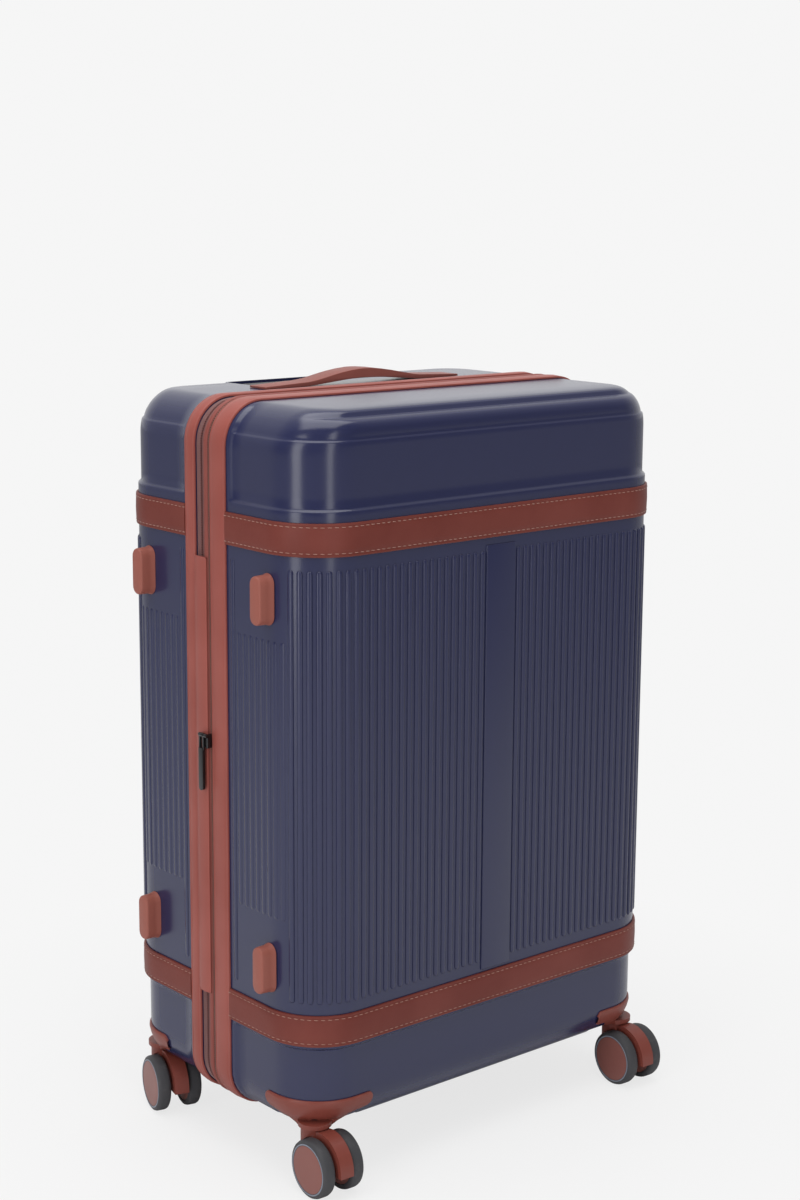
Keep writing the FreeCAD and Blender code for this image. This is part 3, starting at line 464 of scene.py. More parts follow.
brownPlastic = mouldedMaterial(
    "brownPlastic", (0.200, 0.047, 0.034), (0.225, 0.060, 0.045),
    roughness=(0.34, 0.46), grain=1800.0, bump=0.12)
tyreMaterial = mouldedMaterial(
    "tyreRubber", (0.050, 0.050, 0.055), (0.085, 0.083, 0.085),
    roughness=(0.5, 0.65), grain=900.0, scuff=90.0, bump=0.2)
rimMaterial = mouldedMaterial(
    "rimLine", (0.20, 0.22, 0.27), (0.28, 0.30, 0.34), roughness=(0.3, 0.4))
steelMaterial = mouldedMaterial(
    "zincSteel", (0.48, 0.48, 0.50), (0.60, 0.60, 0.62),
    roughness=(0.22, 0.36), grain=2500.0, metallic=1.0)
tubeMaterial = mouldedMaterial(
    "drawnTube", (0.66, 0.67, 0.70), (0.74, 0.75, 0.78),
    roughness=(0.24, 0.36), grain=1800.0, metallic=1.0)
blackPlastic = mouldedMaterial(
    "blackPlastic", (0.016, 0.016, 0.018), (0.03, 0.03, 0.033),
    roughness=(0.36, 0.5), grain=1700.0, bump=0.2)
blackMetal = mouldedMaterial(
    "blackNickel", (0.022, 0.022, 0.024), (0.06, 0.06, 0.064),
    roughness=(0.16, 0.28), grain=2200.0, metallic=0.7, coat=0.3)
greyPlastic = mouldedMaterial(
    "greyButton", (0.10, 0.10, 0.11), (0.15, 0.15, 0.16), roughness=(0.3, 0.42))
dialMaterial = mouldedMaterial(
    "dialPlastic", (0.42, 0.42, 0.43), (0.5, 0.5, 0.51), roughness=(0.35, 0.5))
liningMaterial = clothMaterial(
    "liningCloth", (0.030, 0.030, 0.036), (0.085, 0.085, 0.095), pitch=0.0016)
meshMaterial = clothMaterial(
    "pocketMesh", (0.012, 0.012, 0.014), (0.06, 0.06, 0.066), pitch=0.003, bump=0.9)
webbingMaterial = clothMaterial(
    "webbing", (0.10, 0.032, 0.028), (0.20, 0.07, 0.062), pitch=0.002, bump=0.8)
footMaterial = mouldedMaterial(
    "footPlastic", (0.285, 0.085, 0.062), (0.32, 0.10, 0.075),
    roughness=(0.42, 0.55), grain=1500.0, bump=0.15)
hubMaterial = mouldedMaterial(
    "hubPlastic", (0.225, 0.080, 0.066), (0.25, 0.092, 0.076),
    roughness=(0.28, 0.38), grain=1600.0, bump=0.06)
coilToothMaterial = mouldedMaterial(
    "coilTooth", (0.20, 0.075, 0.068), (0.28, 0.115, 0.105), roughness=(0.45, 0.6), gloss=0.15)
digitMaterial = mouldedMaterial(
    "digitInk", (0.012, 0.012, 0.014), (0.02, 0.02, 0.022), roughness=(0.5, 0.6))
print("materials made")


casterPost = metres((209.3, 129.6))
pocketSize = metres({"radius": 52, "low": -14, "high": 66})
openings = metres({
    "handleWell": ((-113.3, 93.7, 700), (113.3, 146.3, 800), 8),
    "lockInShell": ((226, 36, 381), (250, 61.4, 429), 1),
    "lockInLining": ((222, 35.2, 379), (250, 62.2, 431), 1),
})
shellShape = metres({
    "wall": 2.6, "lowStep": 3.5, "highStep": 3.0, "ledgeStep": 1.6,
    "lowStepTop": 146.5, "lipTop": 666, "ledge": 730,
    "bellyLevel": 98, "belly": 42.5, "stepFree": 36, "stepFull": 43,
})
shoulder = ((738, 0), (742, 0.6), (745, 1.8), (747.5, 3.6), (749.3, 6.0), (750.2, 8.6),
            (750.7, 11.0), (751.3, 12.4), (753, 13.6), (755.2, 14.9), (756.8, 16.8),
            (757.8, 20), (758.6, 28), (759, 42))
rearShoulder = ((738, 0), (741, 1.6), (745, 3.0), (748, 4.8), (750, 6.2), (751.5, 7.4),
                (753, 8.0), (754.3, 8.9), (755.6, 9.9), (757, 11.4), (758.2, 14), (759, 20))


def blendOver(value, low, high):
    t = min(1, max(0, (value - low) / (high - low)))
    return t * t * (3 - 2 * t)


# how far the wall stands in from the belt line at height z
def stepInset(z):
    s = shellShape
    if z < s["lowStepTop"]:
        return s["lowStep"] * (1 - blendOver(z, s["lowStepTop"] - 3.5 * mm, s["lowStepTop"]))
    if z < s["lipTop"]:
        return 0
    upper = s["highStep"] * blendOver(z, s["lipTop"], s["lipTop"] + 3.5 * mm)
    return upper + s["ledgeStep"] * blendOver(z, s["ledge"], s["ledge"] + 2.2 * mm)


def faceRound(z, side):
    s = shellShape
    if z < s["bellyLevel"]:
        drop = min(s["belly"], s["bellyLevel"] - z)
        return s["belly"] - math.sqrt(max(0, s["belly"] ** 2 - drop ** 2))
    steps = shoulder if side < 0 else rearShoulder
    for (z0, a), (z1, b) in zip(steps, steps[1:]):
        if z0 * mm <= z <= z1 * mm + 1e-9:
            return (a + (b - a) * (z - z0 * mm) / ((z1 - z0) * mm)) * mm
    return 0


def sideRound(z):
    r = caseSize["outlineRound"]
    drop = max(0, caseSize["low"] + r - z, z - caseSize["high"] + r)
    return r - math.sqrt(max(0, r * r - drop * drop))


# half width, depth and corner radius of the case at height z
def outlineAt(z, side, inset=0.0):
    sink = faceRound(z, side)
    radius = max(16 * mm, caseSize["planRound"] - sink * 0.9 - sideRound(z) * 0.3)
    return (caseSize["halfWidth"] - sideRound(z) - inset, caseSize["faceDepth"] - sink - inset,
            radius)


# one level of a half shell, from the right zip edge round the face to the left one
def shellRow(z, side, edge, inset=0.0, deepest=1.0):
    halfWide, deep, radius = outlineAt(z, side, inset)
    step = stepInset(z)
    straight = deep - radius
    turn = [edge, 30 * mm, 33 * mm, 36 * mm, 38 * mm, 40 * mm, 43 * mm]
    turn += [43 * mm + (straight - 43 * mm) * k / 5 for k in (1, 2, 3, 4)]
    half = []
    for y in turn:
        free = blendOver(y, shellShape["stepFree"], shellShape["stepFull"])
        half.append((halfWide - step * free, y))
    for k in range(15):
        angle = math.radians(90 * k / 14)
        half.append((halfWide - radius + (radius - step) * math.cos(angle),
                     straight + (radius - step) * math.sin(angle)))
    front = [(halfWide - radius) * k / 10 for k in range(9, -10, -1)]
    row = half + [(x, deep - step) for x in front] + [(-x, y) for x, y in reversed(half)]
    return [Vector((x, side * min(y, deepest), z)) for x, y in row]


def shellLevels():
    levels = [52, 52.6, 54, 56, 59, 63, 68, 74, 81, 89, 98, 110, 125, 140, 142.9, 143.4, 144.5,
              145.5, 146.4, 147, 160, 178, 190]
    levels += [190 + 42.5 * k for k in range(1, 11)]
    levels += [625, 640, 657, 662, 665.9, 666.5, 667.5, 668.5, 669.6, 680, 700, 712, 717, 721,
               725, 729.8, 730.5, 731.5, 732.3, 735, 738]
    levels += [739.5] + [z for z, _ in shoulder[1:] + rearShoulder[1:-1]]
    return [z * mm for z in sorted(set(levels))]


# a skin open towards the zip, with its first and last rows filled as floor and top
def openSkin(name, rows, smoothAngle):
    count = len(rows[0])
    faces = rowFaces(len(rows), count, closedSection=False)
    faces.append(tuple(reversed(range(count))))
    faces.append(tuple((len(rows) - 1) * count + c for c in range(count)))
    return meshPiece(name, [p for row in rows for p in row], faces, smoothAngle)


def halfShell(name, side, edge):
    piece = openSkin(name, [shellRow(z, side, edge) for z in shellLevels()], 30)
    faceSum = sum(p.normal.y * side * p.area for p in piece.data.polygons)
    if faceSum < 0:
        editAll(piece)
        bpy.ops.mesh.flip_normals()
        bpy.ops.object.mode_set(mode="OBJECT")
    useModifier(piece, "SOLIDIFY", thickness=shellShape["wall"], offset=-1)
    return piece


def drum(post, radius, low, high):
    deselectAll()
    bpy.ops.mesh.primitive_cylinder_add(vertices=72, radius=radius, depth=high - low,
                                        location=(*post, (low + high) / 2))
    return settle(bpy.context.object)


def carveBox(piece, low, high, edge):
    return carve(piece, softBox("carver", low, high, edge))


ribSize = {
    "low": 191.5 * mm, "high": 612.5 * mm, "pitch": 9.25 * mm, "wide": 5.9 * mm, "proud": 1.7 * mm,
    "stripHalf": 19.5 * mm, "padLow": 272 * mm, "padHigh": 543 * mm, "padStart": 43 * mm,
    "padEnd": 121.5 * mm, "padLift": 0.45, "trimLift": 0.6, "handleGap": (258 * mm, 552 * mm),
    "lockGap": (366 * mm, 444 * mm), "sideFrom": 230 * mm,
}


# where the ribs stand round one half, counted outwards from the centre strip
def ribPlaces(side, nearY):
    s = ribSize
    path = beltPath(0, side, nearY)
    total = sum((b[0] - a[0]).length for a, b in zip(path, path[1:]))
    first = s["stripHalf"] + s["wide"] / 2 + 1.6 * mm
    for sign in (-1, 1):
        start = (total / 2 - sign * first) % s["pitch"]
        for place, out, _, forward in along(path, s["pitch"], False, start):
            if place.x * sign > s["stripHalf"] + s["wide"] / 2:
                yield place, out, forward


def ribRows(low, high):
    ends = ((0, 0.3, 0.05), (0.5, 0.6, 0.5), (1.3, 0.84, 0.8), (2.4, 0.97, 0.95), (3.6, 1, 1))
    rows = [(low + d * mm, wide, tall) for d, wide, tall in ends]
    return rows + [(high - d * mm, wide, tall) for d, wide, tall in reversed(ends)]


def oneRib(place, out, forward, low, high, lift):
    half = ribSize["wide"] / 2
    section = ((-1, -0.8 * mm), (-1, 0), (-0.9, 0.8 * mm), (-0.68, 1.35 * mm),
               (-0.3, ribSize["proud"]), (0.3, ribSize["proud"]), (0.68, 1.35 * mm),
               (0.9, 0.8 * mm), (1, 0), (1, -0.8 * mm))
    points = []
    rows = ribRows(low, high)
    for z, wide, tall in rows:
        base = Vector((place.x, place.y, z))
        points += [base + forward * b * half * wide + out * (n * tall * lift if n > 0 else n)
                   for b, n in section]
    return points, rowFaces(len(rows), len(section))


# full ribs, cut short round the side handle and the lock and lower beside the feet
def ribField(name, side):
    s = ribSize
    nearY = (caseSize["frontTrimFace"] if side < 0 else caseSize["rearTrimFace"]) + 0.5 * mm
    points, faces = [], []
    for place, out, forward in ribPlaces(side, nearY):
        deep = abs(place.y)
        spans, lift = [(s["low"], s["high"])], 1.0
        gap = None
        if side > 0 and place.x > s["sideFrom"] and 60 * mm < deep < 118 * mm:
            gap = s["handleGap"]
        elif side > 0 and place.x > s["sideFrom"] and deep < 66 * mm:
            gap = s["lockGap"]
        elif place.x < -200 * mm and s["padStart"] < deep < s["padEnd"]:
            spans, lift = [(s["padLow"], s["padHigh"])], s["padLift"]
        elif place.x < -200 * mm and deep < s["padStart"]:
            lift = s["trimLift"]
        if gap:
            spans = [(s["low"], gap[0]), (gap[1], s["high"])]
        for low, high in spans:
            some, theirFaces = oneRib(place, out, forward, low, high, lift)
            faces += [tuple(len(points) + k for k in face) for face in theirFaces]
            points += some
    return meshPiece(name, points, faces, 35)


def centreStrip(name, side):
    half, face = ribSize["stripHalf"], caseSize["faceDepth"]
    depths = sorted((side * (face + 1.6 * mm), side * (face - 1 * mm)))
    return softBox(name, (-half, depths[0], 183 * mm), (half, depths[1], 618 * mm), 1.4 * mm, 4)


def makeShell(word, side, body):
    shell = halfShell(word + "ShellSkin", side, caseSize[word + "Edge"])
    for sign in (-1, 1):
        carve(shell, drum((sign * casterPost[0], side * casterPost[1]), *pocketSize.values()))
    if side > 0:
        carveBox(shell, *openings["handleWell"])
        carveBox(shell, *openings["lockInShell"])
    smooth(shell, 30)
    dress(shell, shellMaterial, body, "shell", word + "_shell")
    dress(ribField(word + "Ribs", side), shellMaterial, body, "shell")
    dress(centreStrip(word + "CentreStrip", side), shellMaterial, body, "shell")
    print(word, "shell made")


liningSize = metres({"inset": 4.4, "thick": 0.5, "low": 92.4, "frontHigh": 746,
              "rearHigh": 710, "rearDeepest": 105, "edge": 31})


# cloth on the inner walls, with a flat floor over the wheel housings
def makeLining(word, side, body):
    s = liningSize
    high = s[word + "High"]
    deepest = s["rearDeepest"] if side > 0 else 1.0
    levels = [s["low"]] + [z for z in shellLevels() if s["low"] < z < high] + [high]
    rows = [shellRow(z, side, s["edge"], s["inset"] + max(0, z - 0.738) * 0.5, deepest)
            for z in levels]
    cloth = openSkin(word + "LiningCloth", rows, 40)
    useModifier(cloth, "SOLIDIFY", thickness=s["thick"], offset=0)
    if side > 0:
        carveBox(cloth, *openings["lockInLining"])
    dress(cloth, liningMaterial, body, "lining", word + "_lining")


for half in halves:
    makeShell(*half)
for half in halves:
    makeLining(*half)


# a band round the case; the section gives (place across the depth, height off the shell)
def ringBand(name, section, smoothAngle=40):
    return sweep(name, ringPath(12), metres(section), True, smoothAngle)


# a strip whose edges are turned over, with a crease inside each turned edge
def crownedSection(low, high, base, edge, crown):
    middle, half = (low + high) / 2, (high - low) / 2
    one = ((0, base), (0, edge - 0.9), (0.35, edge - 0.25), (1.1, edge), (2.0, edge - 0.02),
           (2.5, edge - 0.3), (3.1, edge + 0.02), (half * 0.55, (edge + crown) / 2))
    left = [(low + d, n) for d, n in one]
    right = [(high - d, n) for d, n in reversed(one)]
    return left + [(middle, crown)] + right


trimSize = {"front": (-33.0, -8.0), "rear": (16.3, 32.6), "base": 0.3, "edge": 2.3, "crown": 3.0}


def makeTrims():
    for word, _, body in halves:
        low, high = trimSize[word]
        section = crownedSection(low, high, trimSize["base"], trimSize["edge"], trimSize["crown"])
        dress(ringBand(word + "TrimBand", section), trimMaterial, body, "trim", word + "_trim")


beltSize = {
    "levels": (640.95 * mm, 164.45 * mm), "half": 15.75, "base": 0.2, "edge": 2.5, "crown": 2.9,
    "stitchLine": 12.2 * mm, "stitchPitch": 6.4 * mm, "stitch": (4.0 * mm, 0.75 * mm, 0.4 * mm),
    "stitchLift": 2.5 * mm, "stitchSlant": 0.05,
}


def makeBelts():
    s = beltSize
    section = metres(crownedSection(-s["half"], s["half"], s["base"], s["edge"], s["crown"]))
    for word, side, body in halves:
        nearY = caseSize[word + "TrimFace"] + 0.3 * mm
        bands, threads = [], []
        for level in s["levels"]:
            path = beltPath(level, side, nearY, 16, 8)
            bands.append(sweep(word + "BeltBand", path, section))
            for edge in (-1, 1):
                places = along(path, s["stitchPitch"], False, 3 * mm)
                threads.append(scatterBars(word + "BeltStitch", places, s["stitch"],
                                           s["stitchLift"], edge * s["stitchLine"],
                                           s["stitchSlant"]))
        dress(joinPieces(bands, word + "BeltBands"), beltMaterial, body, "belt", word + "_belts")
        dress(joinPieces(threads, word + "BeltStitches"), threadMaterial, body, "belt")


zipSize = {
    "rootTape": ((6.4, -2.4), (6.4, -0.8), (8.5, -0.7), (14.5, -0.7), (15.9, -0.8), (15.9, -2.4)),
    "rootCoil": ((6.1, -0.9), (6.1, -0.4), (7.6, -0.25), (9.2, -0.4), (9.6, -0.9)),
    "lidCoil": ((2.6, -0.9), (2.8, -0.4), (4.4, -0.25), (5.9, -0.4), (5.9, -0.9)),
    "rootTeeth": 7.7 * mm, "lidTeeth": 4.4 * mm, "coilPitch": 2.4 * mm,
    "coilTooth": (1.2 * mm, 2.0 * mm, 0.55 * mm), "coilLift": -0.2 * mm,
    "piping": (-1.5, 0.95, 3.3, 1.65),
    "expandBase": ((-7.95, -0.6), (-7.95, 1.3), (-5.5, 1.3), (-5.5, -0.6)),
    "expandTeeth": -6.3 * mm, "expandLift": 1.3 * mm, "expandPitch": 2.3 * mm,
    "expandTooth": (1.1 * mm, 1.1 * mm, 0.4 * mm),
}


def ovalSection(across, height, halfWide, halfTall, count=14):
    return [(across + halfWide * math.cos(math.tau * k / count),
             height + halfTall * math.sin(math.tau * k / count)) for k in range(count)]


def ringTeeth(name, pitch, size, lift, shift):
    return scatterBars(name, along(ringPath(1), pitch, True), size, lift, shift)


def makeZips():
    s = zipSize
    dress(ringBand("mainZipTape", s["rootTape"]), tapeMaterial, "root", "zip_tape",
          "main_zip_rear")
    for word, body in (("root", "root"), ("lid", "lid_band")):
        dress(ringBand(word + "ZipCoil", s[word + "Coil"]), coilMaterial, body, "zip_tape")
        row = ringTeeth(word + "ZipTeeth", s["coilPitch"], s["coilTooth"], s["coilLift"],
                        s[word + "Teeth"])
        dress(row, coilToothMaterial, body, "zip_tape")
    dress(ringBand("roundPiping", ovalSection(*s["piping"])), pipingMaterial, "lid_band",
          "piping", "edge_piping")
    dress(ringBand("expansionZipBase", s["expandBase"]), coilMaterial, "front", "zip_tape",
          "expansion_zip_front")
    row = ringTeeth("expansionZipTeeth", s["expandPitch"], s["expandTooth"], s["expandLift"],
                    s["expandTeeth"])
    dress(row, threadMaterial, "front", "zip_tape")


gussetSize = {"near": -6.45, "far": -27.9, "folds": 4, "high": -3.6, "low": -7.4, "thick": 0.5}


# folded cloth between the lid's band and its shell
def makeGusset():
    s = gussetSize
    steps = s["folds"] * 6
    outer = []
    for step in range(steps + 1):
        t = step / steps
        wave = (1 + math.cos(math.tau * s["folds"] * t)) / 2
        outer.append((s["near"] + (s["far"] - s["near"]) * t,
                      s["low"] + s["thick"] + (s["high"] - s["low"] - s["thick"]) * wave))
    inner = [(y, n - s["thick"]) for y, n in reversed(outer)]
    cloth = ringBand("expansionGussetCloth", outer + inner, 60)
    dress(cloth, gussetMaterial, None, "gusset", "expansion_gusset")
    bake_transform(cloth)


panelSize = {"low": 167 * mm, "high": 609 * mm, "middle": 5.3 * mm, "half": 9.4, "base": 241.4 * mm,
             "edge": 1.0, "crown": 2.45, "bead": 0.8 * mm}


def makeHingePanel():
    s = panelSize
    columns = 18
    outer = []
    for k in range(columns + 1):
        u = -1 + 2 * k / columns
        rise = s["edge"] + (s["crown"] - s["edge"]) * (1 - abs(u) ** 2.4)
        outer.append((u * s["half"], rise))
    section = metres([(-s["half"], 0.05)] + outer + [(s["half"], 0.05)]
                   + [(b, 0.3) for b, _ in reversed(outer[1:-1])])
    rows = 24
    path = [(Vector((-s["base"], s["middle"], s["low"] + (s["high"] - s["low"]) * k / rows)),
             Vector((-1, 0, 0)), Vector((0, 1, 0))) for k in range(rows + 1)]
    sheet = sweep("hingePanelSheet", path, section)
    beads = []
    for z in (s["low"] + s["bead"], s["high"] - s["bead"]):
        path = [(Vector((-s["base"] - (0.8 + 0.9 * (1 - abs(u) ** 2.4)) * mm,
                         s["middle"] + u * s["half"] * mm, z)),
                 Vector((-1, 0, 0)), Vector((0, 0, 1)))
                for u in [-1 + k / 8 for k in range(17)]]
        beads.append(sweep("hingePanelBead", path, ovalSection(0, 0, s["bead"], s["bead"], 8)))
    panel = joinPieces([sheet] + beads, "hingePanelHide")
    dress(panel, trimMaterial, None, "trim", "hinge_panel")
    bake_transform(panel)


makeTrims()
makeBelts()
makeZips()
makeGusset()
makeHingePanel()
print("trims, belts and zips made")


# join closed loops of equal length, with a cap on each end
def loft(name, loops, smoothAngle=40):
    points = [p for loop in loops for p in loop]
    return meshPiece(name, points, rowFaces(len(loops), len(loops[0])), smoothAngle)


footSize = {
    "along": 98 * mm, "levels": (582 * mm, 221 * mm),
    "rows": ((238.7, 19.4, 49.6), (240.6, 18.6, 48.8), (242.0, 17.4, 47.6), (246, 16.9, 47.2),
             (252.4, 16.5, 46.8), (253.5, 15.9, 46.2), (254.2, 14.7, 45.0), (254.45, 12.9, 43.2)),
}


def stadium(x, y, z, wide, tall, count=10):
    radius = wide / 2
    loop = []
    for end, first in ((1, 0), (-1, 180)):
        for k in range(count + 1):
            angle = math.radians(first + 180 * k / count)
            loop.append(Vector((x, y + radius * math.cos(angle),
                                z + end * (tall / 2 - radius) + radius * math.sin(angle))))
    return loop


def makeFeet():
    s = footSize
    for word, side, body in halves:
        feet = []
        for level in s["levels"]:
            loops = [stadium(-x * mm, side * s["along"], level, wide * mm, tall * mm)
                     for x, wide, tall in s["rows"]]
            feet.append(loft(word + "Foot", loops, 50))
        dress(joinPieces(feet, word + "SideFeet"), footMaterial, body, "foot",
              word + "_side_feet")


wheelSize = {
    "trail": 21 * mm, "radius": 29 * mm,
    "turns": {"front_left": -2.3, "front_right": -2.8, "rear_left": -14.4, "rear_right": 6.0},
    "tyre": ((9.95, 23.5), (9.95, 24.6), (10.2, 26.6), (11.4, 28.3), (13.2, 28.95), (16.9, 29.0),
             (20.6, 28.95), (22.4, 28.3), (23.6, 26.6), (23.85, 24.9), (23.85, 23.5)),
    "rim": ((22.9, 24.0), (23.9, 24.0), (24.1, 24.3), (24.1, 25.0), (23.9, 25.3),
            (22.9, 25.3)),
    "cap": ((10.4, 3.1), (10.4, 6), (10.2, 8), (10.2, 22.2), (10.9, 23.3), (22.8, 23.4),
            (23.3, 24.0), (23.7, 23.6), (23.85, 22.6), (23.9, 14), (23.92, 0.01)),
}


# turn a profile of (distance along the axle, radius) about the wheel's axle
def spinProfile(name, profile, centre, axis):
    across = Vector((0, 0, 1))
    points = [centre + axis * a * mm + across * r * mm for a, r in profile]
    piece = startMesh(name, points, [(k, k + 1) for k in range(len(points) - 1)], [])
    bpy.ops.mesh.spin(steps=56, angle=math.tau, center=centre, axis=axis)
    bpy.ops.mesh.select_all(action="SELECT")
    return endMesh(piece, 0.00003, 35)


# one ring profile to each side of the caster, joined
def pairOf(name, profile, centre, axis):
    return joinPieces([spinProfile(name, profile, centre, axis * way) for way in (-1, 1)], name)


def makeWheels():
    s = wheelSize
    for corner, turn in s["turns"].items():
        front, left = "front" in corner, "left" in corner
        angle = math.radians(turn)
        axis = Vector((math.cos(angle), math.sin(angle), 0))
        trail = Vector((math.sin(angle), -math.cos(angle), 0)) * s["trail"]
        post = Vector((-casterPost[0] if left else casterPost[0],
                       -casterPost[1] if front else casterPost[1], 0))
        centre = post + trail + Vector((0, 0, s["radius"]))
        body = corner + "_wheels"
        word = ("front" if front else "rear") + ("Left" if left else "Right")
        for part, profile, material, slotName, *replaced in (
                ("Tyres", s["tyre"] + s["tyre"][:1], tyreMaterial, "tyre", corner + "_tyres"),
                ("HubRims", s["rim"] + s["rim"][:1], rimMaterial, "hub"),
                ("HubCaps", s["cap"], hubMaterial, "hub", corner + "_hubs")):
            dress(pairOf(word + part, profile, centre, axis), material, body, slotName, *replaced)


bracketSize = metres({
    "top": 91.3, "arc": 94.2, "sideLobe": 13.5,
    "faceLobe": 22.5, "lobeRound": 6, "lobeLow": 73.5, "middleLow": 67.5,
    "collar": 17.5, "collarLow": 62.4, "plate": 54, "plateLow": 66.1,
    "plateHigh": 68.4, "cupLow": 58.6,
})


# a point on the lower corner of the case, in its first quarter, and its outward way
def cornerPoint(distance, z, proud):
    halfWide, deep, radius = outlineAt(z, -1)
    reach = proud - stepInset(z)
    half = bracketSize["arc"] / 2
    if abs(distance) <= half:
        angle = math.radians(45 + 45 * distance / half)
        out = Vector((math.cos(angle), math.sin(angle), 0))
        return Vector((halfWide - radius, deep - radius, z)) + out * (radius + reach), out
    if distance < 0:
        return Vector((halfWide + reach, deep - radius + distance + half, z)), Vector((1, 0, 0))
    return Vector((halfWide - radius - distance + half, deep + reach, z)), Vector((0, 1, 0))


# one slice: down the outer wall, under to the collar, and back inside the shell
def bracketLoop(distance, first, last):
    s = bracketSize
    post = Vector((*casterPost, 0))
    fromEnd = min(distance - first, last - distance)
    ease = s["lobeRound"] - math.sqrt(max(0, s["lobeRound"] ** 2
                                          - max(0, s["lobeRound"] - fromEnd) ** 2))
    along = abs(distance) / (s["arc"] / 2 + s["sideLobe"])
    low = s["middleLow"] + (s["lobeLow"] - s["middleLow"]) * blendOver(along, 0.35, 1.1)
    top = s["top"] - ease
    low = min(low + ease * 0.6, top - 0.6 * mm)
    loop = []
    for t, proud in ((0, -1.2), (0, 0.9), (0.05, 1.9), (0.14, 2.4), (0.4, 2.4), (0.7, 2.4),
                     (0.92, 2.2), (1, 1.2)):
        loop.append(cornerPoint(distance, top + (low - top) * t, proud * mm)[0])
    edge = loop[-1]
    toward = edge - post
    toward.z = 0
    reach = toward.length
    toward.normalize()
    for t in (0.12, 0.3, 0.55, 0.8, 1):
        radius = reach + (min(s["collar"], reach * 0.98) - reach) * t
        drop = low + (s["collarLow"] - low) * (t * t * (3 - 2 * t))
        loop.append(post + toward * radius + Vector((0, 0, drop)))
    loop.append(post + Vector((0, 0, s["collarLow"])))
    loop.append(post + Vector((0, 0, s["collarLow"] + 4 * mm)))
    inner = cornerPoint(distance, top, -2.2 * mm)[0]
    loop.append(post.lerp(inner, 0.6) + Vector((0, 0, (top - 6 * mm) - top * 0.6)))
    return loop


def makeBrackets():
    s = bracketSize
    first, last = -s["arc"] / 2 - s["sideLobe"], s["arc"] / 2 + s["faceLobe"]
    places = [first + (last - first) * k / 60 for k in range(61)]
    places = sorted(set(places + [first + d * mm for d in (0.4, 1, 1.8, 3)]
                        + [last - d * mm for d in (0.4, 1, 1.8, 3)]))
    wedge = [bracketLoop(d, first, last) for d in places]
    for word, side, body in halves:
        made = []
        for sign in (-1, 1):
            loops = [[Vector((p.x * sign, p.y * side, p.z)) for p in loop] for loop in wedge]
            made.append(loft(word + "Bracket", loops, 35))
            post = (casterPost[0] * sign, casterPost[1] * side)
            made.append(roundPlate(post, s["collar"] - 0.8 * mm, s["collarLow"] + 0.05 * mm,
                                   s["plateLow"] + 1 * mm))
            plate = roundPlate(post, s["plate"], s["cupLow"], s["plateHigh"])
            carve(plate, roundPlate(post, s["plate"] - 2 * mm, s["cupLow"] - 4 * mm,
                                    s["plateLow"]))
            made.append(carve(plate, floorPrism(side), "INTERSECT"))
        dress(joinPieces(made, word + "CornerBrackets"), brownPlastic, body, "caster_plastic",
              word + "_caster_housings")


def roundPlate(post, radius, low, high):
    return smooth(drum(post, radius, low, high), 35)


# a block with the case's own outline at the height of the wheel housings
def floorPrism(side):
    levels = [58.2, 59, 60, 61.5, 63.5, 66, 68, 70]
    return loft("floorPrism", [[Vector((p.x, p.y, z * mm))
                                for p in shellRow(z * mm, side, 0.0, 1.2 * mm)] for z in levels])


# a copy of a CAD part with its sharp edges rounded over
def softened(node, name, width):
    piece = nodes[node].copy()
    piece.data = nodes[node].data.copy()
    piece.parent = None
    piece.name = name
    for word in list(piece.keys()):
        del piece[word]
    bpy.context.scene.collection.objects.link(piece)
    editAll(piece)
    bpy.ops.mesh.remove_doubles(threshold=0.00001)
    bpy.ops.mesh.dissolve_limited(angle_limit=math.radians(2))
    bpy.ops.object.mode_set(mode="OBJECT")
    useModifier(piece, "BEVEL", width=width, segments=3, limit_method="ANGLE",
                angle_limit=math.radians(35))
    return smooth(piece, 40)


# CAD parts with softened edges: body, rounding in mm and, for the hide ones, their own name
softParts = {
    "top_handle_grip": ("top_handle", 1.3, "topHandleHide"),
    "side_handle_grip": ("side_handle", 1.3, "sideHandleHide"),
    "main_slider_upper": ("zip_slider_upper", 0.7),
    "main_slider_lower": ("zip_slider_lower", 0.7),
    "main_puller_upper": ("zip_puller_upper", 0.6),
    "main_puller_lower": ("zip_puller_lower", 0.6),
    "expansion_slider": ("expansion_runner", 0.9),
    "expansion_puller": ("expansion_tab", 0.9),
}

def makeSoftParts(finish, names):
    for node in names:
        body, width, *hideName = softParts[node]
        name = hideName[0] if hideName else node + "_soft"
        dress(softened(node, name, width * mm), finish[0], body, finish[1], node)


makeFeet()
makeWheels()
makeBrackets()
makeSoftParts((handleMaterial, "handle"), list(softParts)[:2])
print("feet, wheels and handles made")


dialSize = {"levels": (396 * mm, 405 * mm, 414 * mm), "along": 52 * mm, "centre": 239.5 * mm,
            "radius": 8.03 * mm, "digit": 3.1 * mm, "raise": 0.06 * mm}


def makeDialDigits():
    s = dialSize
    for index, level in enumerate(s["levels"]):
        digits = []
        for digit in range(10):
            deselectAll()
            bpy.ops.object.text_add(location=(0, 0, 0))
            text = bpy.context.object.data
            text.body = str(digit)
            text.size, text.extrude, text.resolution_u = s["digit"], s["raise"], 3
            text.align_x = text.align_y = "CENTER"
            bpy.ops.object.convert(target="MESH")
            piece = bpy.context.object
            angle = math.tau * digit / 10
            out = Vector((math.cos(angle), math.sin(angle), 0))
            sideways = Vector((-out.y, out.x, 0))
            base = Vector((s["centre"], s["along"], level)) + out * s["radius"]
            for vertex in piece.data.vertices:
                x, y, z = vertex.co
                vertex.co = base + sideways * x + Vector((0, 0, y)) + out * z
            digits.append(piece)
        dress(joinPieces(digits, "dialDigits%d" % (index + 1)), digitMaterial,
              "dial_%d" % (index + 1), "dial")


makeDialDigits()
makeSoftParts((blackMetal, "dark_metal"), list(softParts)[2:])


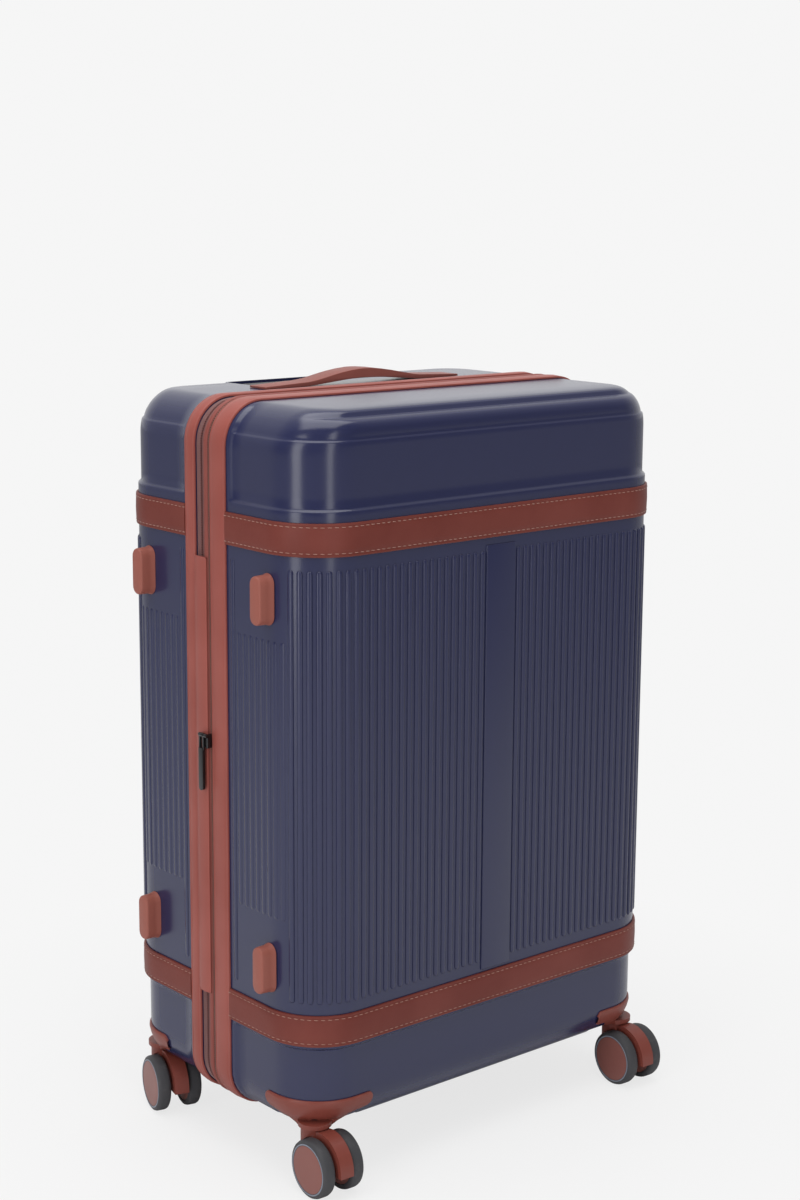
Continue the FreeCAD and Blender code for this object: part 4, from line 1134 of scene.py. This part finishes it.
corners = ("front_left", "front_right", "rear_left", "rear_right")
nodeFinish = (
    (tapeMaterial, "middle_band"),
    (brownPlastic, *[corner + "_fork" for corner in corners], "handle_mounts"),
    (blackMetal, "front_kingpins", "rear_kingpins", "lock_housing"),
    (steelMaterial, *[corner + "_axle" for corner in corners], "rear_screws"),
    (shellMaterial, "trolley_recess"),
    (blackPlastic, "trolley_grip", "strap_buckle"),
    (tubeMaterial, "trolley_outer_tubes", "trolley_middle_tubes", "trolley_inner_tubes"),
    (greyPlastic, "trolley_button", "lock_release"),
    (dialMaterial, "lock_dial_1", "lock_dial_2", "lock_dial_3"),
    (meshMaterial, "lid_pocket"),
    (webbingMaterial, "packing_straps"),
)
for material, *names in nodeFinish:
    for name in names:
        nodes[name].data.materials.clear()
        nodes[name].data.materials.append(material)
print("CAD parts dressed")


# two shaders mixed by a mask, at the tree's output
def mixShaders(tree, mask, first, second, target):
    mix = addNode(tree, "ShaderNodeMixShader")
    for source, socket in ((mask, "Fac"), (first.outputs[0], 1), (second.outputs[0], 2)):
        wire(source, mix.inputs[socket])
    wire(mix.outputs[0], tree.nodes[target].inputs["Surface"])


def makeStage():
    deselectAll()
    bpy.ops.mesh.primitive_plane_add(size=30, location=(0, 0, 0))
    floor = settle(bpy.context.object)
    floor.name = "floor"
    material = bpy.data.materials.new("paleFloor")
    material.use_nodes = True
    tree = material.node_tree
    shader = tree.nodes["Principled BSDF"]
    shader.inputs["Roughness"].default_value = 0.9
    shader.inputs["Base Color"].default_value = (0.9, 0.9, 0.9, 1)
    glow = addNode(tree, "ShaderNodeEmission", Color=(0.92, 0.92, 0.92, 1))
    place = addNode(tree, "ShaderNodeTexCoord")
    length = addNode(tree, "ShaderNodeVectorMath", operation="LENGTH")
    wire(place.outputs["Object"], length.inputs[0])
    far = rangeOf(tree, length.outputs["Value"], 0.82, 1.0, 0.25, 0.7)
    path = addNode(tree, "ShaderNodeLightPath")
    shown = mathNode(tree, "MULTIPLY", far, path.outputs["Is Camera Ray"])
    mixShaders(tree, shown, shader, glow, "Material Output")
    floor.data.materials.append(material)


# white behind and above, a darker room in front, and plain white for the camera
def makeWorld():
    world = bpy.data.worlds.new("studio")
    bpy.context.scene.world = world
    world.use_nodes = True
    tree = world.node_tree
    background = tree.nodes["Background"]
    background.inputs["Color"].default_value = (1, 1, 1, 1)
    background.inputs["Strength"].default_value = 0.45
    path = addNode(tree, "ShaderNodeLightPath")
    seen = addNode(tree, "ShaderNodeBackground", Color=(0.92, 0.92, 0.92, 1))
    place = addNode(tree, "ShaderNodeTexCoord")
    behind = addNode(tree, "ShaderNodeVectorMath", operation="DOT_PRODUCT")
    behind.inputs[1].default_value = (0.64, 0.75, 0.16)
    wire(place.outputs["Generated"], behind.inputs[0])
    white = rangeOf(tree, behind.outputs["Value"], 0.16, 1.0, -0.1, 0.75)
    strength = mathNode(tree, "MAXIMUM", white, path.outputs["Is Camera Ray"])
    wire(strength, seen.inputs["Strength"])
    either = mathNode(tree, "MAXIMUM", path.outputs["Is Camera Ray"],
                      path.outputs["Is Glossy Ray"])
    either = mathNode(tree, "MAXIMUM", either, path.outputs["Is Transmission Ray"])
    mixShaders(tree, either, background, seen, "World Output")


# place, size in metres and power in watts; each lamp points at the middle of the case
lamps = {
    "topSoftbox": ((-0.3, -0.2, 2.6), (2.2, 2.2), 46),
    "leftWindow": ((-2.7, -0.5, 1.1), (0.8, 2.2), 20),
    "frontStrip": ((-1.1, -3.0, 1.1), (0.6, 2.2), 13),
}
lampAim = Vector((0, 0, 0.4))


def addLamp(name, place, size, power):
    data = bpy.data.lights.new(name, "AREA")
    data.shape = "RECTANGLE"
    data.size, data.size_y = size
    data.energy = power
    lamp = newObject(name, data)
    lamp.location = place
    lamp.rotation_euler = (lampAim - Vector(place)).to_track_quat("-Z", "Y").to_euler()


cameraView = {"lens": 64.2, "place": (-1.4112, -1.6646, 0.9652), "tilt": 78.9, "turn": -40.41,
              "roll": 0.34}


def makeCamera():
    s = cameraView
    data = bpy.data.cameras.new("camera")
    data.lens = s["lens"]
    data.sensor_width = 36
    data.sensor_fit = "AUTO"
    camera = newObject("camera", data)
    camera.location = s["place"]
    level = Euler((math.radians(s["tilt"]), 0, math.radians(s["turn"]))).to_matrix()
    roll = Matrix.Rotation(math.radians(s["roll"]), 3, "Z")
    camera.rotation_euler = (level @ roll).to_euler()
    bpy.context.scene.camera = camera


makeStage()
makeWorld()
for name, lamp in lamps.items():
    addLamp(name, *lamp)
makeCamera()
bpy.context.scene.view_settings.view_transform = "Standard"
print("stage made")
